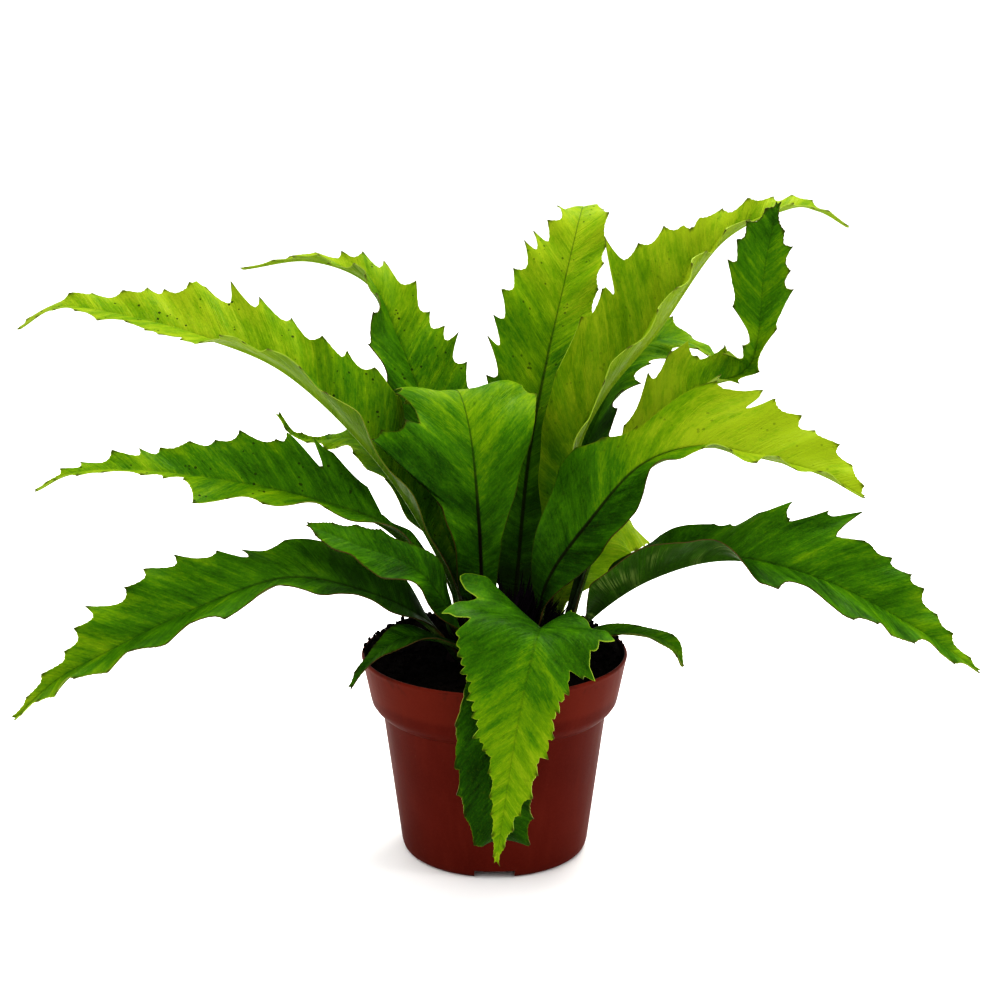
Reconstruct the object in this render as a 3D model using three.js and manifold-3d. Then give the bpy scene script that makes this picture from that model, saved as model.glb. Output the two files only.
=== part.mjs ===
// A bird's nest fern in a plastic nursery pot, in millimetres, +Z up.
// The origin is the middle of the pot's underside, on the surface that it stands on.
// The front is -Y. Each frond is a thin waved blade with a midrib, saw-cut edges and a
// stalk that stands in a plain hole of the crown.
import * as THREE from 'three';
import { mergeVertices } from 'three/addons/utils/BufferGeometryUtils.js';
import Module from 'manifold-3d';

const wasm = await Module();
wasm.setup();

// Driving dimensions of the pot, soil and crown
const POT = {
  height: 93, rimRadius: 60, wall: 1.3, floor: 6,
  baseRadius: 41, footRadius: 42.5, bodyRadius: 50.6, collarFrom: 66, collarRadius: 56,
};
const SECTORS = 40;
const CHANNEL = { width: 18, depth: 3.9, count: 3, from: 13, holeRadius: 4, holeAt: 27 };
const SOIL = { top: 91, dome: 1, slope: 0.055, crumb: 1.6 };
const CROWN = { x: 7, y: 0, radius: 29, bottom: 80, shoulder: 97, top: 106, sectors: 28, lump: 1.1 };
const GAP = 0.35;

// Driving dimensions that all fronds share
const BLADE = { thickness: 0.7, tip: 0.9 };
const STALK = { halfWidth: 4.2, depth: 3, length: 18, flare: 12 };
const RIB = { halfWidth: 1.7, tipDepth: 0.9 };
const TEETH = { pitch: 6.6, plainPitch: 14, from: 0.24, jitter: 0.35 };
const RIPPLE = { height: 2.2, length: 31, power: 1.6 };

// The fronds. The spine is the midrib's route from inside the crown to the tip.
// roll turns the blade about the midrib, [part of length, degrees], left edge up.
// left and right are the halves, seen along the frond from the crown:
// [part of length, angle above flat at the rib, further angle gained up to the edge].
// leftWidths and rightWidths give a half's width without teeth: [part of length, width].
// Where they are left out, halfWidth, widest and taper give the same plain outline twice.
// lobes are [part of length, spread, share of the half width added or cut away].
// spikes are single long teeth, or notches where less than 0: [part of length, reach, spread].
const FRONDS = [
  {
    name: 'frond_upper_left', halfWidth: 27, widest: 0.56, taper: 1.3, seed: 11, tooth: 5,
    leftTooth: 2.5,
    spine: [[-6, 2, 92], [-19, 5, 127], [-48, 10, 175], [-91, 20, 216], [-133, 31, 232],
      [-177, 41, 241], [-200, 46, 242], [-217, 49, 232]],
    left: [[0.15, 20, 0], [0.45, 32, 0], [0.6, 26, 0], [0.72, -5, 0], [1, -10, 0]],
    right: [[0.15, 25, 0], [0.45, 52, 0], [0.7, 45, 0], [1, 20, 0]],
    leftLobes: [[0.8, 0.2, -0.35]],
    rightWidths: [[0.1, 5], [0.2, 10], [0.3, 17], [0.39, 25.5], [0.44, 27.5], [0.48, 24],
      [0.56, 20.5], [0.62, 24], [0.68, 23.5], [0.72, 22.5], [0.78, 17.5], [0.84, 12.5], [0.9, 8],
      [0.95, 4.5], [1, 0.9]],
    rightSpikes: [[0.72, 4, 0.02], [0.66, 4, 0.02]],
  },
  {
    name: 'frond_back_left', halfWidth: 26, widest: 0.5, taper: 1.8, seed: 12, tooth: 6,
    leftTooth: 3,
    spine: [[-1, 18, 92], [-10, 28, 128], [-27, 56, 177], [-44, 76, 219], [-59, 92, 245],
      [-88, 103, 255], [-121, 110, 250]],
    left: [[0.2, 15, 0], [0.45, 4, 0], [0.6, 14, 0], [0.68, 38, 0], [1, 20, 0]],
    rightWidths: [[0.1, 5], [0.18, 9.5], [0.25, 15], [0.32, 19.5], [0.4, 24], [0.5, 25.5],
      [0.55, 24.5], [0.58, 22.5], [0.61, 18.5], [0.7, 16.5], [0.75, 13.5], [0.8, 8.5], [0.86, 6],
      [0.93, 3], [1, 0.9]],
    right: [[0.2, 20, 0], [0.5, 35, 0], [0.8, 30, 0], [1, 0, 0]],
  },
  {
    name: 'frond_centre', seed: 13, tooth: 3,
    spine: [[0, 3, 92], [-5, 4, 115], [-7, 6, 152], [-10, 11, 186], [-15, 24, 205],
      [-20, 40, 204], [-25, 54, 195]],
    leftWidths: [[0.08, 7], [0.2, 12], [0.34, 16], [0.46, 19], [0.52, 27], [0.6, 44], [0.64, 49],
      [0.69, 26], [0.74, 25], [0.79, 28], [0.83, 26], [0.9, 18], [1, 0.9]],
    rightWidths: [[0.1, 6], [0.2, 7], [0.34, 10], [0.46, 17], [0.6, 26], [0.67, 31], [0.76, 35],
      [0.83, 32], [0.9, 22], [1, 0.9]],
    left: [[0.2, 15, 0], [0.6, 10, 0], [0.8, 10, -15], [1, 0, -20]],
    right: [[0.2, 20, 0], [0.6, 16, 0], [0.8, 6, -8], [1, 0, -20]],
    leftSpikes: [[0.635, 3, 0.03], [0.79, 1, 0.03]],
  },
  {
    name: 'frond_back_tall', heading: 97, seed: 14, tooth: 5.5, rightTooth: 3,
    spine: [[8, 13, 92], [11, 28, 127], [16, 54, 170], [24, 71, 210], [33, 90, 246],
      [40, 108, 272], [43, 124, 278], [45, 142, 271]],
    leftWidths: [[0.08, 9], [0.3, 17], [0.45, 23], [0.55, 26], [0.65, 25.5], [0.72, 22],
      [0.79, 15.5], [0.86, 11], [0.93, 6.5], [1, 0.9]],
    rightWidths: [[0.08, 8], [0.3, 13], [0.5, 19], [0.65, 17], [0.75, 15.5], [0.82, 14.5],
      [0.88, 11.5], [0.93, 7], [1, 0.9]],
    left: [[0.2, 15, 0], [0.6, 12, 0], [1, 0, 0]],
    right: [[0.2, 15, 0], [0.5, 25, 0], [0.8, 15, 0], [1, 0, 0]],
  },
  {
    name: 'frond_upper_right', seed: 15, tooth: 4, rightTooth: 3,
    spine: [[19, 8, 92], [27, 18, 128], [36, 37, 174], [50, 44, 202], [74, 51, 230],
      [104, 65, 269], [136, 78, 283], [152, 86, 281], [166, 91, 273]],
    leftWidths: [[0.1, 7], [0.3, 15], [0.4, 22], [0.5, 29], [0.55, 30], [0.59, 31], [0.62, 35],
      [0.66, 28], [0.7, 23], [0.74, 15.5], [0.77, 13], [0.81, 9.5], [0.85, 8.5], [0.89, 7],
      [0.94, 4], [1, 0.9]],
    rightWidths: [[0.1, 4.2], [0.3, 13], [0.42, 19.5], [0.55, 27], [0.64, 25], [0.68, 19],
      [0.71, 12], [0.76, 9], [0.85, 7], [0.93, 4], [1, 0.9]],
    left: [[0.2, 20, 0], [0.4, 58, 0], [0.6, 62, 0], [0.75, 50, 0], [1, 20, 0]],
    right: [[0.2, 20, 0], [0.45, 42, 0], [0.7, 40, 0], [1, 0, 0]],
    leftSpikes: [[0.585, -5, 0.02], [0.615, 7, 0.02], [0.735, -4, 0.012]],
  },
  {
    name: 'frond_right_upturned', seed: 16, tooth: 5,
    spine: [[29, 7, 92], [41, 14, 128], [62, 34, 174], [92, 48, 202], [114, 53, 210],
      [120, 48, 224], [122, 43, 260], [127, 43, 289]],
    roll: [[0, 0], [0.6, 0], [0.74, 60], [1, 65]],
    leftWidths: [[0.1, 4.2], [0.34, 5.5], [0.42, 9.5], [0.48, 14], [0.54, 19], [0.58, 18],
      [0.61, 14.5], [0.66, 13.5], [0.7, 5], [0.74, 5], [0.8, 10], [0.85, 14.5], [0.91, 15],
      [0.96, 11], [1, 0.9]],
    rightWidths: [[0.1, 4.2], [0.3, 9], [0.46, 14], [0.58, 9], [0.66, 4.5], [0.74, 5], [0.8, 10],
      [0.86, 12], [0.92, 8], [1, 0.9]],
    left: [[0.2, 20, 0], [0.45, 60, 0], [0.65, 50, 0], [0.8, 10, 0], [1, 10, 0]],
    right: [[0.2, 20, 0], [0.5, 20, 0], [1, 10, 0]],
    leftSpikes: [[0.575, 7, 0.025], [0.6, -2, 0.02]],
  },
  {
    name: 'frond_right_bright', seed: 17, tooth: 4, rightTooth: 1.5,
    spine: [[17, -4, 92], [23, -3, 125], [42, 0, 153], [65, 4, 178], [92, 4, 187], [117, 1, 183],
      [142, -4, 177], [162, -8, 167]],
    roll: [[0, 0], [0.22, 38], [0.5, 30], [1, 28]],
    leftWidths: [[0.1, 6], [0.2, 14], [0.3, 24], [0.38, 32], [0.43, 30], [0.46, 23], [0.53, 17],
      [0.56, 19.5], [0.61, 25], [0.66, 29], [0.71, 31], [0.74, 28], [0.81, 25], [0.85, 19.5],
      [0.9, 16.5], [0.95, 12], [1, 0.9]],
    rightWidths: [[0.1, 4.2], [0.2, 11], [0.3, 17], [0.42, 18.5], [0.5, 17.5], [0.62, 20],
      [0.75, 17], [0.9, 8], [1, 0.9]],
    left: [[0.2, 10, 0], [0.6, 22, 0], [1, 20, 0]],
    right: [[0.2, -10, 0], [0.35, -5, 0], [0.45, 8, 0], [0.56, 38, 0], [1, 40, 0]],
    leftSpikes: [[0.715, 3, 0.02], [0.74, -6, 0.015]],
  },
  {
    name: 'frond_right_low', seed: 18, tooth: 3, rightTooth: 2.5,
    spine: [[31, -1, 92], [41, -6, 111], [68, -16, 133], [102, -25, 144], [141, -35, 137],
      [179, -43, 119], [208, -48, 100]],
    leftWidths: [[0.1, 4.2], [0.17, 20], [0.3, 23], [0.42, 18], [0.48, 16], [0.52, 18],
      [0.58, 21], [0.65, 21], [0.7, 22.5], [0.76, 20], [0.81, 16], [0.86, 12], [0.9, 7],
      [0.95, 4], [1, 0.9]],
    rightWidths: [[0.1, 4.2], [0.18, 16.5], [0.3, 19], [0.45, 19], [0.53, 21], [0.58, 17.5],
      [0.63, 18.5], [0.69, 22], [0.75, 21.5], [0.82, 15.5], [0.9, 9], [1, 0.9]],
    left: [[0.2, 28, 0], [0.42, 36, 0], [0.54, 60, 0], [0.75, 58, 0], [1, 40, 0]],
    right: [[0.15, 45, 0], [0.4, 45, 0], [0.53, -5, 0], [1, -5, 0]],
    leftSpikes: [[0.43, 3.5, 0.03], [0.495, 13, 0.05], [0.565, 9.5, 0.024], [0.6, 14, 0.042]],
  },
  {
    name: 'frond_back_right_low', seed: 19, tooth: 2,
    spine: [[22, 16, 92], [32, 22, 115], [46, 38, 132], [55, 50, 138], [64, 60, 135],
      [74, 70, 124]],
    leftWidths: [[0.12, 4.2], [0.35, 6], [0.5, 10], [0.68, 11], [0.85, 6], [0.95, 2.5], [1, 0.9]],
    rightWidths: [[0.1, 4.2], [0.3, 12], [0.45, 16], [0.6, 18], [0.75, 17], [0.88, 11], [1, 0.9]],
    left: [[0.2, 30, 0], [1, 30, 0]],
    right: [[0.2, -10, 0], [0.5, -55, 0], [1, -55, 0]],
  },
  {
    name: 'frond_back_right', halfWidth: 16, widest: 0.6, taper: 1.2, seed: 20, tooth: 5,
    spine: [[12, 21, 92], [24, 36, 126], [41, 62, 169], [59, 77, 204], [78, 84, 220],
      [100, 90, 214], [114, 98, 198]],
    left: [[0.2, 20, 0], [0.7, 20, 0], [0.85, 40, 0], [1, 30, 0]],
    rightWidths: [[0.1, 4.2], [0.3, 5], [0.4, 12], [0.47, 18], [0.55, 19], [0.6, 14], [0.66, 11],
      [0.79, 11.5], [0.86, 9], [0.93, 4], [1, 0.9]],
    right: [[0.2, 20, 0], [0.6, 20, 0], [0.75, -20, 0], [1, -20, 0]],
  },
  {
    name: 'frond_back_left_low', seed: 21, tooth: 2,
    spine: [[-11, 12, 92], [-21, 30, 126], [-43, 54, 158], [-64, 70, 174], [-84, 81, 172],
      [-96, 87, 173], [-104, 91, 182]],
    leftWidths: [[0.1, 4.2], [0.3, 9.5], [0.5, 15], [0.6, 15], [0.7, 12], [0.78, 8], [0.85, 3.5],
      [0.92, 1.5], [1, 0.9]],
    rightWidths: [[0.1, 4.2], [0.3, 9], [0.5, 13], [0.62, 12], [0.7, 9], [0.76, 5.5], [0.82, 2.5],
      [0.9, 1.2], [1, 0.9]],
    left: [[0.2, 20, 0], [0.6, 10, 0], [0.8, -20, 0], [1, -20, 0]],
    right: [[0.2, 30, 0], [1, 40, 0]],
  },
  {
    name: 'frond_left_mid', seed: 22, tooth: 4, leftTooth: 2,
    spine: [[-15, 0, 92], [-26, -5, 128], [-46, -9, 153], [-72, -13, 165], [-106, -18, 175],
      [-150, -25, 183], [-180, -29, 183], [-196, -31, 176]],
    leftWidths: [[0.2, 4.2], [0.3, 7], [0.4, 13], [0.5, 16], [0.6, 17], [0.66, 18], [0.695, 18],
      [0.72, 4], [0.8, 3.2], [0.9, 3], [1, 0.9]],
    rightWidths: [[0.14, 4.2], [0.2, 7], [0.27, 6], [0.31, 3.5], [0.35, 4.5], [0.362, 14.5],
      [0.38, 16], [0.46, 23], [0.5, 25], [0.575, 22], [0.64, 20], [0.69, 16], [0.765, 11],
      [0.86, 6.5], [0.91, 4.5], [0.95, 2], [1, 0.9]],
    left: [[0.2, 15, 0], [0.45, 0, 0], [0.55, -5, 0], [0.65, -20, 0], [0.75, -12, 0], [1, 0, 0]],
    right: [[0.2, 30, 0], [0.5, 58, 0], [0.8, 45, 0], [1, 20, 0]],
    rightSpikes: [[0.485, 3, 0.02], [0.505, -12, 0.02], [0.527, 5, 0.02]],
  },
  {
    name: 'frond_left_low', seed: 23, tooth: 5, leftTooth: 2.5,
    spine: [[-13, -11, 92], [-31, -18, 114], [-59, -30, 131], [-90, -40, 139], [-126, -50, 129],
      [-160, -58, 114], [-185, -63, 101], [-203, -66, 85]],
    leftWidths: [[0.1, 4.2], [0.2, 13], [0.3, 16], [0.45, 16], [0.57, 21], [0.65, 23], [0.75, 19],
      [0.85, 15], [0.9, 11], [0.95, 5], [1, 0.9]],
    rightWidths: [[0.08, 4.2], [0.13, 13], [0.2, 18], [0.3, 22], [0.36, 21], [0.42, 19],
      [0.5, 16], [0.57, 23], [0.65, 24], [0.7, 18], [0.79, 17], [0.83, 12], [0.87, 6], [0.95, 3],
      [1, 0.9]],
    left: [[0.15, -5, 0], [0.35, -2, 0], [0.5, 2, 0], [1, 0, 0]],
    right: [[0.2, 35, 0], [0.5, 38, 0], [0.7, 62, 0], [1, 50, 0]],
  },
  {
    name: 'frond_left_short', seed: 24, tooth: 1,
    spine: [[-8, -5, 92], [-19, -22, 118], [-34, -32, 141], [-58, -38, 153], [-79, -41, 163]],
    roll: [[0, 0], [0.4, -35], [1, -40]],
    leftWidths: [[0.15, 4.2], [0.3, 11], [0.5, 14], [0.7, 13.5], [0.85, 10], [0.95, 5], [1, 0.9]],
    rightWidths: [[0.12, 4.2], [0.22, 10], [0.4, 13], [0.65, 11], [0.85, 8], [0.95, 4], [1, 0.9]],
    left: [[0.2, 5, 0], [1, 5, 0]],
    right: [[0.2, 15, 0], [1, 15, 0]],
  },
  {
    name: 'frond_left_tiny', halfWidth: 8, widest: 0.5, seed: 25, tooth: 0.6,
    spine: [[-6, -21, 92], [-13, -25, 103], [-28, -32, 110], [-43, -38, 110], [-56, -43, 100],
      [-62, -46, 92]],
    left: [[0.2, 0, 0], [1, 0, 0]],
    right: [[0.2, 25, 0], [1, 25, 0]],
  },
  {
    name: 'frond_right_tiny', halfWidth: 5, widest: 0.75, taper: 0.8, seed: 26, tooth: 0.6,
    spine: [[28, -14, 92], [35, -14, 103], [46, -15, 107], [64, -18, 107], [78, -21, 103],
      [83, -23, 94]],
    left: [[0.2, 30, 0], [1, 30, 0]],
    right: [[0.2, 0, 0], [1, 0, 0]],
  },
  {
    name: 'frond_front_bright', seed: 27, tooth: 2, pitch: 0.75,
    spine: [[19, -15, 92], [21, -24, 109], [20, -44, 118], [18, -68, 123], [15, -80, 114],
      [10, -90, 92], [5, -99, 63], [1, -104, 36]],
    rightWidths: [[0.12, 4.2], [0.18, 20], [0.24, 29], [0.3, 37], [0.4, 36], [0.5, 30.5],
      [0.6, 22], [0.7, 15], [0.75, 9.5], [0.8, 7], [0.9, 4], [1, 0.9]],
    leftWidths: [[0.12, 4.2], [0.17, 9], [0.22, 13.5], [0.27, 17], [0.33, 21], [0.38, 27],
      [0.42, 31], [0.46, 25], [0.5, 23], [0.53, 19], [0.62, 15.5], [0.7, 14.5], [0.8, 10],
      [0.9, 5], [1, 0.9]],
    right: [[0.15, 48, 0], [0.26, 37, 0], [0.38, 22, 0], [0.55, 12, 0], [1, 5, 0]],
    left: [[0.15, 52, 0], [0.22, 42, 0], [0.28, 25, 0], [0.36, 2, 0], [0.55, 8, 0], [1, 5, 0]],
    rightSpikes: [[0.31, 3, 0.03], [0.36, -8, 0.03], [0.41, 5, 0.02], [0.445, -5, 0.02]],
    leftSpikes: [[0.42, 3, 0.02], [0.49, 5, 0.02], [0.52, -2, 0.02]],
  },
  {
    name: 'frond_front_dark', halfWidth: 15, widest: 0.7, taper: 0.6, seed: 28, tooth: 2,
    spine: [[6, -22, 92], [5, -27, 106], [2, -48, 111], [-1, -68, 102], [-2, -78, 80],
      [1, -80, 52], [4, -75, 35], [6, -67, 30], [6, -59, 33]],
    left: [[0.2, 10, 0], [1, 5, 0]],
    right: [[0.2, 10, 0], [1, 5, 0]],
  },
];

// A repeatable draw from 0 to 1
function draw(seed, index) {
  const value = Math.sin(seed * 12.9898 + index * 78.233) * 43758.5453;
  return value - Math.floor(value);
}

function smooth(x) {
  const u = Math.min(Math.max(x, 0), 1);
  return u * u * (3 - 2 * u);
}

// The value in one column of rows [t, value, ...], eased from row to row
function keyed(rows, t, column = 1) {
  let k = 0;
  while (k < rows.length - 2 && t > rows[k + 1][0]) k += 1;
  const [before, after] = [rows[k], rows[Math.min(k + 1, rows.length - 1)]];
  const span = Math.max(after[0] - before[0], 1e-6);
  return before[column] + (after[column] - before[column]) * smooth((t - before[0]) / span);
}

// The value of rows [t, value] on straight lines from row to row
function between(rows, t) {
  let k = 0;
  while (k < rows.length - 2 && t > rows[k + 1][0]) k += 1;
  const [before, after] = [rows[k], rows[k + 1]];
  const share = Math.min(Math.max((t - before[0]) / (after[0] - before[0]), 0), 1);
  return before[1] + (after[1] - before[1]) * share;
}

// Place, tangent, side and upper face direction of a frond's midrib, by length along it
function spineOf(spec) {
  const points = spec.spine.map((p) => new THREE.Vector3(...p));
  const curve = new THREE.CatmullRomCurve3(points, false, 'catmullrom', 0.5);
  curve.arcLengthDivisions = 400;
  const length = curve.getLength();
  const first = points[0];
  const last = points[points.length - 1];
  const outward = spec.heading === undefined
    ? new THREE.Vector3(last.x - first.x, last.y - first.y, 0).normalize()
    : new THREE.Vector3(Math.cos(THREE.MathUtils.degToRad(spec.heading)),
      Math.sin(THREE.MathUtils.degToRad(spec.heading)), 0);
  const across = new THREE.Vector3(-outward.y, outward.x, 0);
  const roll = spec.roll ?? [[0, 0]];
  const at = (s) => {
    const inside = Math.min(Math.max(s, 0), length);
    const tangent = curve.getTangentAt(inside / length);
    const place = curve.getPointAt(inside / length).addScaledVector(tangent, s - inside);
    const side = across.clone().addScaledVector(tangent, -across.dot(tangent)).normalize();
    const face = tangent.clone().cross(side);
    const turn = THREE.MathUtils.degToRad(keyed(roll, inside / length));
    const turned = side.clone().multiplyScalar(Math.cos(turn)).addScaledVector(face, Math.sin(turn));
    const faced = face.multiplyScalar(Math.cos(turn)).addScaledVector(side, -Math.sin(turn));
    return { place, side: turned, face: faced };
  };
  return { at, length };
}

// Width of one half of the blade without teeth, at a part t of its length
function outline(spec, length, t, sign) {
  const widths = sign > 0 ? spec.leftWidths : spec.rightWidths;
  if (widths) {
    const flare = smooth((t * length - STALK.length) / STALK.flare);
    return STALK.halfWidth + (between(widths, t) - STALK.halfWidth) * flare;
  }
  const stalkEnd = STALK.length / length;
  if (t < spec.widest) {
    const rise = smooth((t - stalkEnd) / (spec.widest - stalkEnd)) ** 0.7;
    return STALK.halfWidth + (spec.halfWidth - STALK.halfWidth) * rise;
  }
  const beyond = Math.min((t - spec.widest) / (1 - spec.widest), 1);
  return BLADE.tip + (spec.halfWidth - BLADE.tip) * (1 - beyond ** 1.7) ** (spec.taper ?? 1.5);
}

// How far a vein runs forward for each millimetre that it runs outward
function veinLean(t) {
  return 0.75 * smooth((t - 0.05) / 0.35) + 0.3 * t;
}

// Width of the untoothed blade where the vein from this foot meets its edge
function edgeWidth(spec, length, foot, sign) {
  const lean = veinLean(foot / length);
  let low = foot;
  let high = foot + 90;
  for (let i = 0; i < 30; i += 1) {
    const middle = (low + high) / 2;
    if (middle - outline(spec, length, middle / length, sign) * lean < foot) low = middle;
    else high = middle;
  }
  return { width: outline(spec, length, low / length, sign), place: low };
}

// Feet of the veins that end in a tooth's tip or notch: one for each long tooth, the rest
// at an uneven pitch between them
function veinFeet(spec, length) {
  const pitch = TEETH.pitch * (spec.pitch ?? 1);
  const long = [[1, spec.leftSpikes ?? []], [-1, spec.rightSpikes ?? []]].flatMap(([sign, spikes]) =>
    spikes.map(([at]) => {
      const edge = outline(spec, length, at, sign);
      let own = at * length;
      for (let i = 0; i < 8; i += 1) own = at * length - edge * veinLean(own / length);
      return own;
    }));
  const feet = [0];
  let foot = 0;
  let index = 0;
  while (foot < length - 3) {
    const plain = foot < TEETH.from * length - TEETH.plainPitch;
    const uneven = 1 + TEETH.jitter * (2 * draw(spec.seed, index) - 1);
    foot += plain ? TEETH.plainPitch : pitch * uneven;
    index += 1;
    if (foot < length - 3 && long.every((own) => Math.abs(own - foot) > 0.5 * pitch)) feet.push(foot);
  }
  return [...feet, ...long, length].sort((a, b) => a - b);
}

// Long single teeth and notches at a part t of the length
function spikeReach(spikes, t) {
  return (spikes ?? []).reduce((sum, [at, reach, spread]) => {
    const near = Math.max(0, 1 - Math.abs(t - at) / spread);
    return sum + reach * (reach > 0 ? near ** 1.4 : smooth(near));
  }, 0);
}

// How far a tooth's tip stands out, or its notch is cut in, past the untoothed edge
function toothReach(spec, sign, index, t) {
  const tip = (index % 2 === 0) === (sign > 0);
  const depth = (sign > 0 ? spec.leftTooth : spec.rightTooth) ?? spec.tooth;
  const size = depth * (0.35 + 1.2 * draw(spec.seed + 50 * sign, index) ** 1.5);
  const along = smooth((t - TEETH.from) / 0.2) * (1 - 0.55 * smooth((t - 0.75) / 0.25));
  return (tip ? 0.62 : -0.38) * size * along;
}

function lobeShare(lobes, t) {
  return (lobes ?? []).reduce((share, [at, spread, amount]) =>
    share + amount * Math.exp(-(((t - at) / spread) ** 2)), 1);
}

// A point of the blade's upper face: sign is +1 on the left half, foot is where its vein
// leaves the midrib, out is the way along the vein as a share of its whole run
function facePoint(spec, spine, sign, foot, out, reach) {
  const { at, length } = spine;
  const { width, place } = edgeWidth(spec, length, foot, sign);
  const lobes = sign > 0 ? spec.leftLobes : spec.rightLobes;
  const t = place / length;
  const spikes = sign > 0 ? spec.leftSpikes : spec.rightSpikes;
  const run = Math.max(width * lobeShare(lobes, t) + reach + spikeReach(spikes, t), BLADE.tip);
  const across = out * run;
  const s = foot + across * veinLean(foot / length);
  const rows = sign > 0 ? spec.left : spec.right;
  const open = smooth((s - STALK.length) / (2 * STALK.flare));
  const start = THREE.MathUtils.degToRad(keyed(rows, s / length, 1)) * open;
  const bend = THREE.MathUtils.degToRad(keyed(rows, s / length, 2)) * open;
  const u = across / width;
  const end = start + bend * u;
  const flat = Math.abs(bend) < 1e-3;
  const lateral = flat ? across * Math.cos(start) : (width * (Math.sin(end) - Math.sin(start))) / bend;
  const lift = flat ? across * Math.sin(start) : (width * (Math.cos(start) - Math.cos(end))) / bend;
  const waves = RIPPLE.height * smooth((s / length - 0.1) / 0.25)
    * Math.min(u, 1.4) ** RIPPLE.power * Math.min(1, width / 12)
    * Math.sin((2 * Math.PI * foot) / RIPPLE.length + 2 * Math.PI * draw(spec.seed + 7, sign));
  const frame = at(s);
  return frame.place.clone()
    .addScaledVector(frame.side, sign * (lateral - waves * Math.sin(end)))
    .addScaledVector(frame.face, lift + waves * Math.cos(end));
}

// The two faces of a frond, as rows of points from the base to the tip
function frondRows(spec) {
  const spine = spineOf(spec);
  const { length } = spine;
  const feet = veinFeet(spec, length);
  const rows = feet.map((foot, index) => {
    const t = foot / length;
    const ends = [1, -1].map((sign) => toothReach(spec, sign, index, t));
    const [leftRib, rightRib] = [1, -1].map((sign) =>
      Math.min(RIB.halfWidth / edgeWidth(spec, length, foot, sign).width, 0.3));
    const row = [[1, 1], [1, 0.55], [1, leftRib], [1, 0], [-1, rightRib], [-1, 0.55], [-1, 1]];
    return row.map(([sign, out]) =>
      facePoint(spec, spine, sign, foot, out, sign > 0 ? ends[0] : ends[1]));
  });
  const depths = feet.map((foot) => {
    const stalk = 1 - smooth((foot - STALK.length) / STALK.length);
    const keel = RIB.tipDepth + (STALK.depth - RIB.tipDepth) * (1 - foot / length) ** 1.5;
    const web = BLADE.thickness;
    const shoulder = web + (1.7 * stalk + 0.35) * (1 - foot / length);
    return [web, web + 0.6 * stalk, shoulder, Math.max(keel, web), shoulder, web + 0.6 * stalk, web];
  });
  return { rows, depths };
}

// A closed solid between rows of points and the same rows moved back along their normals
function plate(rows, depths) {
  const last = rows.length - 1;
  const columns = rows[0].length;
  const under = rows.map((row, i) => row.map((point, j) => {
    const along = rows[Math.min(i + 1, last)][j].clone().sub(rows[Math.max(i - 1, 0)][j]);
    const over = row[Math.min(j + 1, columns - 1)].clone().sub(row[Math.max(j - 1, 0)]);
    const normal = over.cross(along).normalize();
    return point.clone().addScaledVector(normal, -depths[i][j]);
  }));
  const count = rows.length * columns;
  const positions = [...rows.flat(), ...under.flat()].flatMap((p) => [p.x, p.y, p.z]);
  const faces = [];
  const quad = (a, b, c, d) => faces.push(a, b, c, a, c, d);
  for (let i = 0; i < last; i += 1) {
    for (let j = 0; j < columns - 1; j += 1) {
      const a = i * columns + j;
      quad(a, a + 1, a + columns + 1, a + columns);
      quad(a + count, a + count + columns, a + count + columns + 1, a + count + 1);
    }
    const left = i * columns;
    const right = left + columns - 1;
    quad(left, left + columns, left + count + columns, left + count);
    quad(right, right + count, right + count + columns, right + columns);
  }
  for (let j = 0; j < columns - 1; j += 1) {
    quad(j, j + count, j + count + 1, j + 1);
    const end = last * columns + j;
    quad(end, end + 1, end + count + 1, end + count);
  }
  const geometry = new THREE.BufferGeometry();
  geometry.setAttribute('position', new THREE.Float32BufferAttribute(positions, 3));
  geometry.setIndex(faces);
  return geometry;
}

function solidOf(geometry) {
  const bare = geometry.clone();
  bare.deleteAttribute('normal');
  bare.deleteAttribute('uv');
  const merged = mergeVertices(bare, 1e-4);
  return new wasm.Manifold(new wasm.Mesh({
    numProp: 3,
    vertProperties: new Float32Array(merged.attributes.position.array),
    triVerts: new Uint32Array(merged.index.array),
  }));
}

function geometryOf(solid) {
  const mesh = solid.getMesh();
  const geometry = new THREE.BufferGeometry();
  geometry.setAttribute('position', new THREE.BufferAttribute(mesh.vertProperties, 3));
  geometry.setIndex(new THREE.BufferAttribute(mesh.triVerts, 1));
  geometry.computeVertexNormals();
  return geometry;
}

// Inner face of the pot's wall from the floor to the rim, moved inward by clear
function innerWall(clear) {
  const { height, rimRadius, wall, floor, footRadius, bodyRadius, collarFrom, collarRadius } = POT;
  const inset = wall + clear;
  return [
    [footRadius - inset - 1.5, floor + clear], [footRadius - inset, floor + 1 + clear],
    [bodyRadius - inset, collarFrom + 0.5], [collarRadius - inset, collarFrom + 9],
    [rimRadius - inset - 0.4, height - 0.6],
  ];
}

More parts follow.
